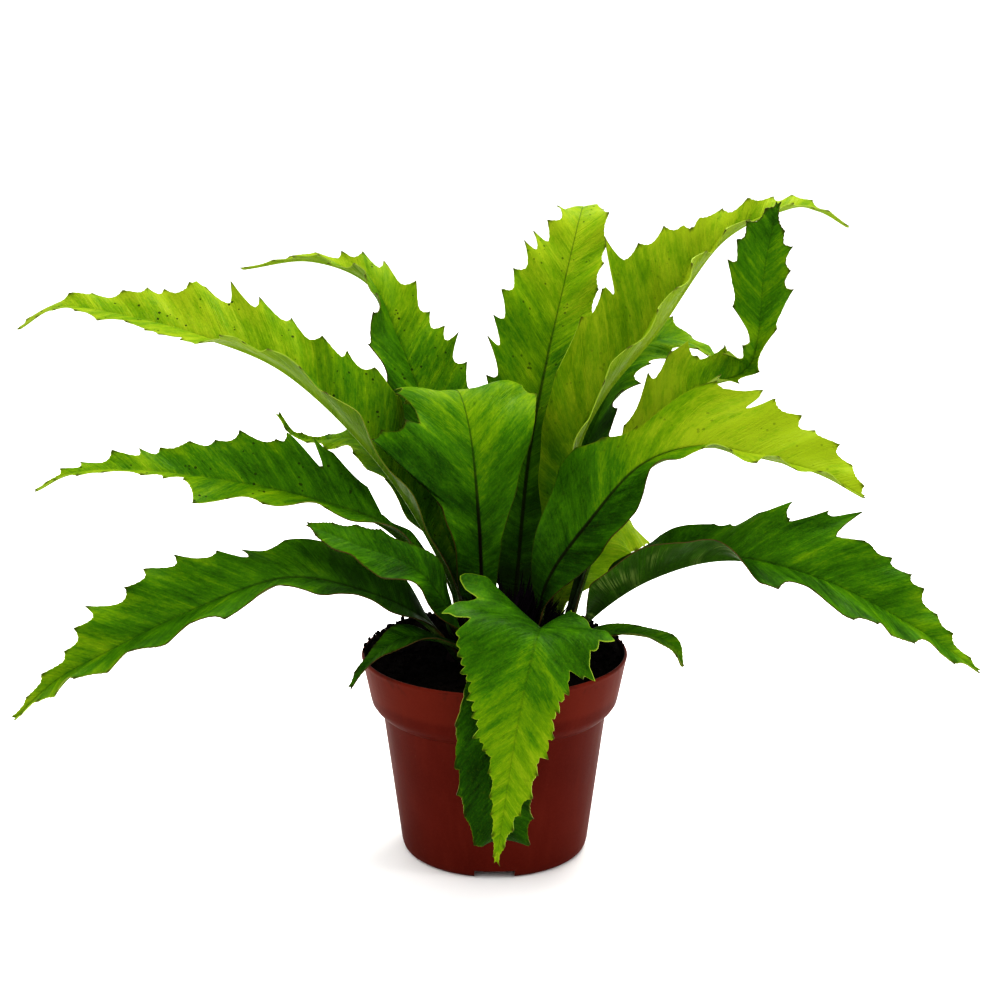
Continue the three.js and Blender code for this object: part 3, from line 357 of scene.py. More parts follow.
def lean(t):
    """How far a vein runs forward for each millimetre that it runs outward."""
    return 0.75 * smooth((t - 0.05) / 0.35) + 0.3 * t


def edge_width(spec, length, foot, sign):
    """Width and place where the vein from a foot meets the untoothed edge."""
    farthest, halvings = 90, 30
    foot = np.asarray(foot, float)
    slope = lean(foot / length)
    low, high = foot.copy(), foot + farthest
    for _ in range(halvings):
        middle = (low + high) / 2
        before = middle - outline(spec, length, middle / length, sign) * slope < foot
        low = np.where(before, middle, low)
        high = np.where(before, high, middle)
    return outline(spec, length, low / length, sign), low


def vein_feet(spec, length):
    """Feet of the veins that end in teeth or notches: the long ones, and others between them."""
    pitch = TEETH["pitch"] * spec.get("pitch", 1)
    long = []
    for sign in (1, -1):
        for at, _, _ in spec.get(half_name(sign) + "Spikes", []):
            edge = float(outline(spec, length, at, sign))
            own = at * length
            for _ in range(8):
                own = at * length - edge * float(lean(own / length))
            long.append(own)
    feet, foot, index = [0.0], 0.0, 0
    while foot < length - TEETH["end"]:
        plain = foot < TEETH["start"] * length - TEETH["plain"]
        uneven = 1 + TEETH["jitter"] * (2 * float(draw(spec["seed"], index)) - 1)
        foot += TEETH["plain"] if plain else pitch * uneven
        index += 1
        if foot < length - TEETH["end"] and all(abs(own - foot) > 0.5 * pitch for own in long):
            feet.append(foot)
    return np.array(sorted(feet + long + [length]))


def spike_reach(spikes, t):
    """What long single teeth and notches add to the outline."""
    total = np.zeros_like(t)
    for at, reach, spread in spikes:
        near = np.maximum(0, 1 - np.abs(t - at) / spread)
        total += reach * (near ** 1.4 if reach > 0 else smooth(near))
    return total


def tooth_reach(spec, sign, index, t):
    """How far a tooth's tip stands out, or its notch is cut in, past the untoothed edge."""
    tip = (index % 2 == 0) == (sign > 0)
    depth = spec.get(half_name(sign) + "Tooth", spec["tooth"])
    size = depth * (0.35 + 1.2 * draw(spec["seed"] + 50 * sign, index) ** 1.5)
    along = smooth((t - TEETH["start"]) / 0.2) * (1 - 0.55 * smooth((t - 0.75) / 0.25))
    return np.where(tip, 0.62, -0.38) * size * along


def lobe_share(lobes, t):
    """What broad lobes leave of the half's width, as a share."""
    share = np.ones_like(t)
    for at, spread, amount in lobes:
        share += amount * np.exp(-((t - at) / spread) ** 2)
    return share


def stations(feet, reaches):
    """Close stations along the midrib, and each half's reach and nearness to a tooth's point."""
    sharpness = 1.9
    place, reach, point = [], [[], []], [[], []]
    for i in range(len(feet) - 1):
        gap = feet[i + 1] - feet[i]
        n = max(2, int(math.ceil(gap / STEP)))
        u = np.arange(n) / n
        place.append(feet[i] + gap * u)
        for side in (0, 1):
            a, b = reaches[side][i], reaches[side][i + 1]
            near = u ** sharpness if b > a else (1 - u) ** sharpness
            reach[side].append(min(a, b) + abs(b - a) * near)
            point[side].append(near)
    place.append(feet[-1:])
    for side in (0, 1):
        reach[side].append(reaches[side][-1:])
        point[side].append(np.ones(1))
    return [np.concatenate(place), *[[np.concatenate(v) for v in pair] for pair in (reach, point)]]


def fine_teeth(spec, side, foot, length, reach):
    """A half's reach with a fine saw added, and small round teeth on some fronds."""
    t = foot / length
    saw = (foot / 2.3 + 0.37 * side) % 1.0
    reach = reach + 0.32 * smooth((t - 0.3) / 0.2) * (saw ** 2 - 0.3)
    if spec["name"] in SCALLOPS:
        high, pitch = SCALLOPS[spec["name"]]
        waves = np.sin(math.pi * (foot + 0.8 * np.sin(foot / 9)) / pitch + side)
        reach = reach + high * (np.abs(waves) ** 0.7 - 0.6) * smooth((0.78 - t) / 0.25)
    return reach


def relief(spec, sign, length, foot, s, across, wide):
    """Height over the bent blade: waves, uneven pleats along the veins, pucker, frill, crease."""
    phase = TURN * float(draw(spec["seed"] + 7, sign))
    u = across / wide
    grown = smooth((s / length - 0.1) / 0.25)
    waves = (RIPPLE["height"] * grown * np.minimum(u, 1.4) ** RIPPLE["power"]
             * np.minimum(1, wide / 12) * np.sin(TURN * foot / RIPPLE["length"] + phase))
    far = smooth((across - 1.0) / 6) * np.minimum(1, wide / 9) * grown
    pleats = 0.34 * wander(foot / 6.1, 2 * phase + sign) + 0.2 * wander(foot / 2.9, 5 * phase + sign)
    uneven = 0.55 + 0.45 * wander(across / 7 + foot / 23, phase)
    pleats = TONES_AND_SHADE[spec["name"]][-1] * pleats * uneven
    dents = wander(foot / 6.7 - across / 4.1, 7 * phase)
    pucker = 0.16 * wander(foot / 4.3 + across / 5.5, 3 * phase) * dents
    frill = 0.6 * smooth((u - 0.7) / 0.4) * wander(foot / 8.3, 9 * phase + sign)
    crease = -0.3 * np.exp(-(across / 0.7) ** 2) * (1 - 0.6 * foot / length)
    return waves + far * (pleats + pucker + frill) + crease


def half_blade(spec, spine, sign, foot, reach):
    """Points of one half's upper face, and how far each is from the rib and from the margin."""
    length, name = spine.length, half_name(sign)
    width, place = edge_width(spec, length, foot, sign)
    t = place / length
    spikes = spike_reach(spec.get(name + "Spikes", []), t)
    run = width * lobe_share(spec.get(name + "Lobes", []), t) + reach + spikes
    run = np.maximum(run, BLADE["tip"])[:, None]
    rib = np.minimum(RIB_POINTS, run * RIB_SHARES)
    share = np.linspace(0, 1, WEB_POINTS + 1)[1:] ** 0.92
    across = np.concatenate([rib, rib[:, -1:] + (run - rib[:, -1:]) * share], axis=1)
    foot, wide = foot[:, None], width[:, None]
    s = foot + across * lean(foot / length)
    opened = smooth((s - STALK["length"]) / (2 * STALK["flare"]))
    rows = (spec[name], spec.get(name + "Bend", LEVEL))
    start, bend = [np.radians(keyed(row, s / length)) * opened for row in rows]
    # The formulas below divide by the bend, so a straight row gets a very slight one
    slight = 1e-3
    bend = np.where(np.abs(bend) < slight, slight, bend)
    end = start + bend * (across / wide)
    lateral = wide * (np.sin(end) - np.sin(start)) / bend
    lift = wide * (np.cos(start) - np.cos(end)) / bend
    high = relief(spec, sign, length, foot, s, across, wide)
    aside = sign * (lateral - high * np.sin(end))
    above = lift + high * np.cos(end)
    at, side, face = spine.at(s)
    return at + side * aside[..., None] + face * above[..., None], across, run - across


def joined(left, right):
    """Two halves as one grid, from the left margin over the rib to the right one."""
    return np.concatenate([left[:, ::-1], right[:, 1:]], axis=1)


def leaf_depth(length, foot, out, margin):
    """How thick a frond is: web, keel under the midrib, and half-round stalk."""
    early = 1 - foot / length
    stalk = 1 - smooth((foot - STALK["length"]) / STALK["length"])
    keel = BLADE["rib_tip"] + (STALK["depth"] - BLADE["rib_tip"]) * early ** 1.5 - WEB
    ridge = np.exp(-(out / (0.9 + 0.7 * early)) ** 2)
    round_stalk = np.sqrt(np.maximum(0, 1 - (out / (STALK["half"] + 0.1)) ** 2))
    depth = WEB + keel * (ridge * (1 - stalk) + round_stalk * stalk)
    return np.minimum(depth, WEB + 0.7 * np.maximum(margin, 0) + 3 * stalk)


def shell_faces(rows, columns):
    """Faces between two grids of points that close into a shell, and each face's kind:
    0 for the upper grid, 1 for the lower one and 2 for the edge between them."""
    count = rows * columns
    grid = np.arange(count).reshape(rows, columns)
    a, b, c, d = grid[:-1, :-1], grid[:-1, 1:], grid[1:, 1:], grid[1:, :-1]
    parts = [np.stack([a, b, c, d], -1).reshape(-1, 4), np.stack([a, d, c, b], -1).reshape(-1, 4) + count]
    rim = []
    for line, back in ((grid[:, 0], False), (grid[:, -1], True), (grid[0], True), (grid[-1], False)):
        p, q = line[:-1], line[1:]
        rim.append(np.stack([p, p + count, q + count, q] if back else [p, q, q + count, p + count], -1))
    parts.append(np.concatenate(rim))
    kinds = [np.full(len(part), kind) for kind, part in enumerate(parts)]
    return np.concatenate(parts), np.concatenate(kinds)


def frond_mesh(spec):
    """A frond's points, faces, kinds of face, and the facts that its materials read."""
    spine = Spine(spec)
    length = spine.length
    feet = vein_feet(spec, length)
    index = np.arange(len(feet))
    reaches = [tooth_reach(spec, sign, index, feet / length) for sign in (1, -1)]
    foot, reach, point = stations(feet, reaches)
    halves = [half_blade(spec, spine, sign, foot, fine_teeth(spec, side, foot, length, reach[side]))
              for side, sign in enumerate((1, -1))]
    (left, left_out, left_margin), (right, right_out, right_margin) = halves
    upper = joined(left, right)
    out = joined(left_out, -right_out)
    margin = joined(left_margin, right_margin)
    tip = joined(*[np.repeat(near[:, None], left.shape[1], 1) for near in point])
    foot = foot[:, None]
    t = foot / length
    normal = np.cross(np.gradient(upper, axis=1), np.gradient(upper, axis=0))
    normal /= np.maximum(np.linalg.norm(normal, axis=2), 1e-9)[..., None]
    under = upper - normal * leaf_depth(length, foot, out, margin)[..., None]
    *tones, dark_rib, spotted, _ = TONES_AND_SHADE[spec["name"]]
    left_light_shade, right_light_shade = SIDE_LIGHT_AND_SHADE.get(spec["name"], (0.0, 0.0))
    # Tone along the frond, with painted shade low at the crown and painted light and shade on each half
    tone = np.interp(t, TONE_PLACES, tones) + right_light_shade + (left_light_shade - right_light_shade) * smooth(out / 3 + 0.5)
    facts = {
        "foot": foot, "out": out, "margin": margin, "along": t, "tone": tone, "dark_rib": dark_rib,
        "spotted": spotted, "tip": tip * smooth((t - 0.28) / 0.1),
        "pale_edge": PALE_MARGINS.get(spec["name"], 0.0),
    }
    facts = {key: np.tile(np.broadcast_to(v, out.shape).ravel(), 2) for key, v in facts.items()}
    points = np.concatenate([upper.reshape(-1, 3), under.reshape(-1, 3)])
    return points, *shell_faces(*out.shape), facts


def shade_smooth(mesh, sharp=None):
    """Smooth shading, with edges kept sharp above an angle in degrees."""
    mesh.polygons.foreach_set("use_smooth", np.ones(len(mesh.polygons), dtype=bool))
    if sharp is not None:
        mesh.set_sharp_from_angle(angle=math.radians(sharp))


def linked(name, mesh):
    thing = bpy.data.objects.new(name, mesh)
    bpy.context.collection.objects.link(thing)
    return thing


def mesh_object(name, points, faces, materials, kinds=None, facts=None, sharp=None):
    """An object from points in millimetres, with each face's material and each point's facts."""
    mesh = bpy.data.meshes.new(name)
    mesh.from_pydata((np.asarray(points) * MM).tolist(), [], [tuple(face) for face in faces])
    for material in materials:
        mesh.materials.append(material)
    if kinds is not None:
        mesh.polygons.foreach_set("material_index", np.asarray(kinds, dtype=np.int32))
    for key, value in (facts or {}).items():
        layer = mesh.attributes.new(key, "FLOAT", "POINT")
        layer.data.foreach_set("value", np.asarray(value, dtype=np.float32))
    shade_smooth(mesh, sharp)
    mesh.update()
    return linked(name, mesh)


class Shader:
    """A material's nodes, with a short name for each kind that the looks use."""

    def __init__(self, name):
        self.material = bpy.data.materials.new(name)
        self.material.use_nodes = True
        self.tree = self.material.node_tree
        self.principled = self.tree.nodes["Principled BSDF"]

    def node(self, kind, **settings):
        made = self.tree.nodes.new(kind)
        for key, value in settings.items():
            setattr(made, key, value)
        return made

    def fill(self, sockets, **values):
        """Links and plain values into sockets, whose names have _ where the real ones have a space."""
        for key, value in values.items():
            socket = sockets[key.replace("_", " ")]
            if hasattr(value, "links"):
                self.tree.links.new(value, socket)
            else:
                socket.default_value = value

    def fact(self, name):
        return self.node("ShaderNodeAttribute", attribute_name=name).outputs["Fac"]

    def math(self, operation, *values):
        made = self.node("ShaderNodeMath", operation=operation)
        for socket, value in zip(made.inputs, (*values, 0.0, 0.0)):
            self.fill({"socket": socket}, socket=value)
        return made.outputs[0]

    def plus(self, a, b):
        return self.math("ADD", a, b)

    def minus(self, a, b):
        return self.math("SUBTRACT", a, b)

    def times(self, a, b):
        return self.math("MULTIPLY", a, b)

    def between(self, value, low, high, to_low=0.0, to_high=1.0):
        """The value eased from to_low at low to to_high at high."""
        made = self.node("ShaderNodeMapRange", interpolation_type="SMOOTHSTEP")
        self.fill(made.inputs, Value=value, From_Min=low, From_Max=high, To_Min=to_low, To_Max=to_high)
        return made.outputs["Result"]

    def mix(self, share, a, b):
        """Colour a with a share of colour b over it."""
        made = self.node("ShaderNodeMix", data_type="RGBA")
        self.fill(made.inputs, Factor=share, A=a, B=b)
        return made.outputs["Result"]

    def ramp(self, value, stops):
        made = self.node("ShaderNodeValToRGB")
        elements = made.color_ramp.elements
        while len(elements) < len(stops):
            elements.new(0.5)
        for element, (at, colour) in zip(elements, stops):
            element.position = at
            element.color = (*colour, 1)
        self.fill(made.inputs, Fac=value)
        return made.outputs["Color"]

    def place(self):
        return self.node("ShaderNodeTexCoord").outputs["Object"]

    def vector(self, x, y, z=0.0):
        made = self.node("ShaderNodeCombineXYZ")
        self.fill(made.inputs, X=x, Y=y, Z=z)
        return made.outputs[0]

    def stretched(self, where, scale):
        made = self.node("ShaderNodeMapping")
        self.fill(made.inputs, Vector=where, Scale=scale)
        return made.outputs[0]

    def noise(self, where, scale, detail=3.0, rough=0.55):
        made = self.node("ShaderNodeTexNoise")
        self.fill(made.inputs, Vector=where, Scale=scale, Detail=detail, Roughness=rough)
        return made.outputs["Fac"]

    def surface(self, colour, roughness, specular):
        self.fill(self.principled.inputs, Base_Color=colour, Roughness=roughness,
                  Specular_IOR_Level=specular)

    def bump(self, height, strength, distance):
        made = self.node("ShaderNodeBump")
        self.fill(made.inputs, Strength=strength, Distance=distance, Height=height)
        self.fill(self.principled.inputs, Normal=made.outputs["Normal"])
        return made.outputs["Normal"]

    def translucent(self, colour, share, normal):
        """Light that comes through the leaf from behind."""
        through = self.node("ShaderNodeBsdfTranslucent")
        self.fill(through.inputs, Color=colour, Normal=normal)
        both = self.node("ShaderNodeMixShader")
        both.inputs["Fac"].default_value = share
        links = self.tree.links
        links.new(self.principled.outputs[0], both.inputs[1])
        links.new(through.outputs[0], both.inputs[2])
        links.new(both.outputs[0], self.tree.nodes["Material Output"].inputs["Surface"])


# Colours, as linear red, green and blue, over a ramp from 0 to 1
GREENS = [(0.0, (0.006, 0.026, 0.001)), (0.25, (0.02, 0.08, 0.001)), (0.5, (0.057, 0.168, 0.0018)),
          (0.75, (0.16, 0.28, 0.002)), (1.0, (0.295, 0.385, 0.014))]
POT_REDS = [(0.25, (0.068, 0.0075, 0.0038)), (0.55, (0.08, 0.0095, 0.005)), (0.85, (0.098, 0.013, 0.007))]
PEAT = [(0.3, (0.002, 0.001, 0.001)), (0.6, (0.005, 0.003, 0.002)), (0.85, (0.012, 0.006, 0.004))]
FIBRE = [(0.3, (0.012, 0.007, 0.004)), (0.6, (0.05, 0.026, 0.012)), (0.85, (0.12, 0.065, 0.03))]


class Tint:
    """Single colours, as linear red, green, blue and alpha."""
    leaf_grain = (0.27, 0.34, 0.008, 1)
    leaf_rust = (0.088, 0.06, 0.003, 1)
    leaf_spot = (0.016, 0.03, 0.002, 1)
    midrib = (0.016, 0.055, 0.0015, 1)
    black_midrib = (0.008, 0.004, 0.002, 1)
    stalk = (0.008, 0.009, 0.002, 1)
    brown_margin = (0.05, 0.03, 0.003, 1)
    pale_margin = (0.26, 0.34, 0.016, 1)
    burnt_tooth = (0.03, 0.03, 0.004, 1)
    dark_underside = (0.034, 0.08, 0.008, 1)
    pale_underside = (0.29, 0.39, 0.035, 1)
    underside_sheen = (0.27, 0.36, 0.1, 1)
    light_through = (0.24, 0.35, 0.003, 1)
    pale_edge = (0.16, 0.25, 0.015, 1), (0.27, 0.34, 0.045, 1)
    brown_edge = (0.032, 0.032, 0.005, 1), (0.08, 0.044, 0.01, 1)
    burnt_edge = (0.03, 0.02, 0.004, 1)
    pot_streak = (0.115, 0.02, 0.011, 1)
    pot_grain = (0.125, 0.022, 0.013, 1)
    pot_collar_painted_light = (0.13, 0.021, 0.01, 1)
    pot_lime = (0.22, 0.11, 0.075, 1)
    pot_soiled = (0.02, 0.008, 0.005, 1)
    pot_inside_soil_and_shade = (0.004, 0.002, 0.002, 1)
    soil_bit = (0.04, 0.018, 0.01, 1)
    studio_floor = (0.9, 0.9, 0.9, 1)


def blade_material(name, underside):
    """A frond's upper or lower face, coloured by the facts of each point."""
    m = Shader(name)
    foot, out, margin = m.fact("foot"), m.fact("out"), m.fact("margin")
    along, tone = m.fact("along"), m.fact("tone")
    away = m.math("ABSOLUTE", out)
    times, between = m.times, m.between

    def field(each_foot, each_out, third=0.0, detail=2.0, rough=0.55):
        """Noise that turns so often for each millimetre along the midrib and across it."""
        return m.noise(m.vector(times(foot, each_foot), times(out, each_out), third), 1.0, detail, rough)

    # Slow changes over the blade, mottling drawn out along the veins, and fine veins
    broad = field(0.04, 0.045, times(tone, 4.0))
    patches = field(0.15, 0.09, times(along, 3.0), 4.0, 0.65)
    streaks = field(0.33, 0.05, times(tone, 2.0))
    veins = field(1.1, 0.05, rough=0.5)
    mottle = field(0.9, 0.55, 0.0, 4.0, 0.7)
    # The tone, and so the green picked from the ramp, carries painted shade at the crown and painted light
    # and shade on each half
    hue = tone
    for part, amount in ((broad, 0.6), (patches, 0.6), (streaks, 0.42), (veins, 0.12), (mottle, 0.5)):
        hue = m.plus(hue, times(m.minus(part, 0.5), amount))
    # Side veins far apart, as thin pale lines; the blade pales towards its margin
    line = between(m.math("ABSOLUTE", m.minus(field(0.34, 0.014, detail=1.0), 0.5)), 0.022, 0.004)
    hue = m.plus(hue, times(line, 0.08))
    hue = m.plus(hue, between(margin, 7.0, 0.0, 0.0, 0.08))
    colour = m.ramp(hue, GREENS)
    # Grain of the leaf's cells, and a trace of rust in it
    grain = m.noise(m.place(), 1300.0, 3.0, 0.6)
    colour = m.mix(times(between(grain, 0.5, 0.8), 0.16), colour, Tint.leaf_grain)
    rust = field(0.5, 0.4, times(tone, 7.0), 5.0, 0.75)
    colour = m.mix(times(between(rust, 0.58, 0.75), 0.2), colour, Tint.leaf_rust)
    # Midrib: a crease that thins out towards the tip, black-brown low down on some fronds
    thin = m.math("DIVIDE", away, between(along, 0.25, 0.95, 1.0, 0.4))
    crease = m.math("MULTIPLY_ADD", m.fact("dark_rib"), 0.5, 0.14)
    colour = m.mix(times(between(thin, 0.85, 0.2), crease), colour, Tint.midrib)
    dark = times(m.fact("dark_rib"), between(along, 0.72, 0.3))
    colour = m.mix(times(dark, between(thin, 1.15, 0.6)), colour, Tint.black_midrib)
    # The stalk turns near black where it leaves the crown: its own brown, and painted shade of the crown
    colour = m.mix(between(along, 0.2, 0.05, 0.0, 0.85), colour, Tint.stalk)
    # Small dark spots on some fronds
    cells = m.node("ShaderNodeTexVoronoi")
    forward = m.math("MULTIPLY_ADD", away, 0.9, foot)
    m.fill(cells.inputs, Vector=m.vector(times(forward, 0.33), times(out, 0.33)), Scale=1.0)
    size = between(m.noise(m.vector(foot, out), 0.1, 2.0), 0.46, 0.62, 0.0, 0.21)
    spots = times(m.math("LESS_THAN", cells.outputs["Distance"], size), m.fact("spotted"))
    colour = m.mix(times(spots, 0.9), colour, Tint.leaf_spot)
    # A thin edge: pale on bright blades, brown on dark ones, and dark at the teeth's tips
    light_edge = m.math("MAXIMUM", between(tone, 0.38, 0.6), m.fact("pale_edge"))
    edge = m.mix(light_edge, Tint.brown_margin, Tint.pale_margin)
    colour = m.mix(between(margin, 0.55, 0.1, 0.0, 0.55), colour, edge)
    burnt = times(between(m.fact("tip"), 0.45, 0.95), between(margin, 1.7, 0.3))
    colour = m.mix(times(burnt, 0.75), colour, Tint.burnt_tooth)
    if underside:
        # Pale fine lines along the veins, and a painted sheen in places
        lines = field(1.7, 0.04, 0.0, 3.0, 0.6)
        pale = m.mix(between(tone, 0.3, 0.7), Tint.dark_underside, Tint.pale_underside)
        colour = m.mix(between(lines, 0.35, 0.65, 0.2, 0.9), colour, pale)
        painted_sheen = times(between(field(0.07, 0.05), 0.5, 0.68), between(lines, 0.42, 0.6))
        colour = m.mix(times(painted_sheen, 0.55), colour, Tint.underside_sheen)
    rough = between(field(0.22, 0.16), 0.35, 0.65, 0.34, 0.56)
    m.surface(colour, rough, 0.045 if underside else 0.055)
    height = m.plus(m.plus(veins, times(patches, 0.9)), times(mottle, 0.5))
    height = m.plus(m.minus(height, times(line, 0.35)), times(grain, 0.35))
    normal = m.bump(height, 0.5, 0.0006)
    m.translucent(m.mix(0.4, colour, Tint.light_through), 0.35, normal)
    return m.material


def edge_material():
    """The thin edge all round a frond: pale or brown, and dark at the teeth's tips."""
    m = Shader("frond_edge")
    tone = m.fact("tone")
    wear = m.noise(m.place(), 260.0, 3.0)
    pale, brown = m.mix(wear, *Tint.pale_edge), m.mix(wear, *Tint.brown_edge)
    light = m.math("MAXIMUM", m.between(tone, 0.35, 0.65), m.fact("pale_edge"))
    burnt = m.between(m.fact("tip"), 0.5, 0.95, 0.0, 0.8)
    m.surface(m.mix(burnt, m.mix(light, brown, pale), Tint.burnt_edge), 0.5, 0.1)
    m.bump(wear, 0.3, 0.0002)
    return m.material


def pot_material():
    """Dull red-brown plastic. Heights and distances are in the scene's metres."""
    m = Shader("pot_plastic_fine")
    times, between = m.times, m.between
    where = m.place()
    parts = m.node("ShaderNodeSeparateXYZ")
    m.fill(parts.inputs, Vector=where)
    x, y, z = parts.outputs
    # Clouds, streaks down the wall, grains, specks of lime, and painted light on the collar, which is made
    # lighter where light from above falls on it
    streaks = m.noise(m.stretched(where, (1.0, 1.0, 0.12)), 150.0, 4.0, 0.6)
    colour = m.ramp(m.noise(where, 28.0, 3.0, 0.5), POT_REDS)
    colour = m.mix(times(between(streaks, 0.45, 0.8), 0.3), colour, Tint.pot_streak)
    grains = m.noise(where, 900.0, 2.0, 0.6)
    colour = m.mix(between(grains, 0.35, 0.75, 0.0, 0.14), colour, Tint.pot_grain)
    # Painted light: the collar lighter where the light from above falls on it
    colour = m.mix(times(between(z, 0.0745, 0.078), 0.4), colour, Tint.pot_collar_painted_light)
    lime = between(m.noise(where, 420.0, 2.0, 0.7), 0.7, 0.82)
    colour = m.mix(times(lime, 0.12), colour, Tint.pot_lime)
    # Soil clings to the rim in places. The inner side of the collar, which lies a wall's thickness
    # in from the collar's sloping outer face, is made near black: soil on it, and painted shade in the gap
    # inside the rim
    soiled = times(between(z, 0.084, 0.0925), between(m.noise(where, 210.0), 0.52, 0.7))
    colour = m.mix(times(soiled, 0.35), colour, Tint.pot_soiled)
    radius = m.node("ShaderNodeVectorMath", operation="LENGTH")
    m.fill(radius.inputs, Vector=m.vector(x, y))
    outer_face = m.minus(POT["rim"] * MM, times(m.minus(0.0932, z), 0.26))
    inward = m.minus(outer_face, radius.outputs["Value"])
    inner = times(between(inward, 0.0009, 0.0013), between(z, 0.071, 0.073))
    # Soil and painted shade: the inner side of the collar near black
    colour = m.mix(times(inner, 0.95), colour, Tint.pot_inside_soil_and_shade)
    m.surface(colour, between(streaks, 0.2, 0.8, 0.42, 0.52), 0.03)
    # Faint rings round the wall
    rings = m.noise(m.stretched(where, (0.05, 0.05, 1.0)), 700.0, 2.0, 0.5)
    m.bump(m.plus(times(rings, 0.6), times(m.noise(where, 1400.0, 2.0), 0.4)), 0.25, 0.0002)
    return m.material


def soil_material():
    """Dark peat with a few paler bits."""
    m = Shader("potting_soil_fine")
    where = m.place()
    clumps = m.noise(where, 220.0, 5.0, 0.65)
    bits = m.noise(where, 900.0, 3.0, 0.6)
    colour = m.mix(m.times(m.between(bits, 0.66, 0.76), 0.35), m.ramp(clumps, PEAT), Tint.soil_bit)
    m.surface(colour, 0.95, 0.03)
    m.bump(m.plus(clumps, m.times(bits, 0.4)), 0.9, 0.0015)
    return m.material


def crown_material(name, light):
    """Brown upright fibres; light scales how bright they are."""
    m = Shader(name)
    fibres = m.noise(m.stretched(m.place(), (1.0, 1.0, 0.3)), 600.0, 5.0, 0.7)
    stops = [(at, (red * light, green * light, blue)) for at, (red, green, blue) in FIBRE]
    m.surface(m.ramp(fibres, stops), 0.9, 0.02)
    m.bump(fibres, 0.8, 0.001)
    return m.material


def inner_wall(clear):
    """The inner face of the pot's wall from floor to rim, moved inward by clear."""
    inset = POT["wall"] + clear
    return [
        (POT["foot"] - inset - 1.5, POT["floor"] + clear), (POT["foot"] - inset, POT["floor"] + 1 + clear),
        (POT["body"] - inset, POT["collar_from"] + 0.5), (POT["collar"] - inset, POT["collar_from"] + 9),
        (POT["rim"] - inset - 0.4, POT["height"] - 0.6),
    ]


def rotated(x, y, angle, about=(0, 0)):
    """A point turned by an angle about the place that x and y are measured from."""
    return (about[0] + x * math.cos(angle) - y * math.sin(angle),
            about[1] + x * math.sin(angle) + y * math.cos(angle))


def ring(radius, sectors):
    """Points evenly round the pot's axis."""
    angles = np.linspace(0, TURN, sectors, endpoint=False)
    return [(radius * math.cos(angle), radius * math.sin(angle)) for angle in angles]


def turned(profile, sectors, name, materials):
    """A turned solid from (radius, height) points, the first and last on the axis."""
    points, faces, rings = [], [], []
    for r, z in profile:
        row = [(0, 0, z)] if r == 0 else [(x, y, z) for x, y in ring(r, sectors)]
        rings.append(range(len(points), len(points) + len(row)))
        points.extend(row)
    for a, b in zip(rings, rings[1:]):
        for k in range(sectors):
            j = (k + 1) % sectors
            if len(a) == 1:
                faces.append((a[0], b[j], b[k]))
            elif len(b) == 1:
                faces.append((a[k], a[j], b[0]))
            else:
                faces.append((a[k], a[j], b[j], b[k]))
    return mesh_object(name, points, faces, materials)


def rounded(profile):
    """A profile of (radius, height, size), with each corner that has a size made a small arc."""
    corners = np.array(profile, float)
    made = []
    for i, (r, z, size) in enumerate(profile):
        if not size:
            made.append((r, z))
            continue
        here = corners[i, :2]
        before, after = corners[i - 1, :2] - here, corners[i + 1, :2] - here
        size = min(size, np.linalg.norm(before) * 0.48, np.linalg.norm(after) * 0.48)
        p = here + before / np.linalg.norm(before) * size
        q = here + after / np.linalg.norm(after) * size
        for u in np.linspace(0, 1, 5):
            made.append(tuple((1 - u) ** 2 * p + 2 * u * (1 - u) * here + u * u * q))
    return made


def channel_box(shape, where):
    """One drainage channel's box in a bmesh, its vertices then put by where."""
    reach = POT["foot"] + 6 - CHANNEL["start"]
    for v in bmesh.ops.create_cube(shape, size=1)["verts"]:
        x, y, z = v.co
        v.co = where(CHANNEL["start"] + reach * (x + 0.5), CHANNEL["width"] * y, 2 * CHANNEL["depth"] * z)


def drain_hole(shape, where):
    """One drain hole's round in a bmesh, its vertices then put by where."""
    made = bmesh.ops.create_cone(shape, cap_ends=True, segments=32, radius1=CHANNEL["hole"],
                                 radius2=CHANNEL["hole"], depth=3 * POT["floor"])
    for v in made["verts"]:
        v.co = where(v.co.x + CHANNEL["hole_at"], v.co.y, v.co.z)


def cut_out(pot, name, add):
    """The pot less what add makes at each drainage channel."""
    shape = bmesh.new()
    for i in range(CHANNEL["count"]):
        angle = -math.pi / 2 + TURN * i / CHANNEL["count"]
        add(shape, lambda x, y, z: Vector((*rotated(x, y, angle), z)) * MM)
    mesh = bpy.data.meshes.new(name)
    shape.to_mesh(mesh)
    shape.free()
    tool = linked(name, mesh)
    modifier = pot.modifiers.new(name, "BOOLEAN")
    modifier.operation = "DIFFERENCE"
    modifier.solver = "EXACT"
    modifier.use_self = True
    modifier.object = tool
    apply_modifiers(pot)
    bpy.data.objects.remove(tool)


def apply_modifiers(thing):
    """The object's modifiers, worked into its mesh."""
    depsgraph = bpy.context.evaluated_depsgraph_get()
    made = bpy.data.meshes.new_from_object(thing.evaluated_get(depsgraph))
    old = thing.data
    thing.modifiers.clear()
    thing.data = made
    bpy.data.meshes.remove(old)


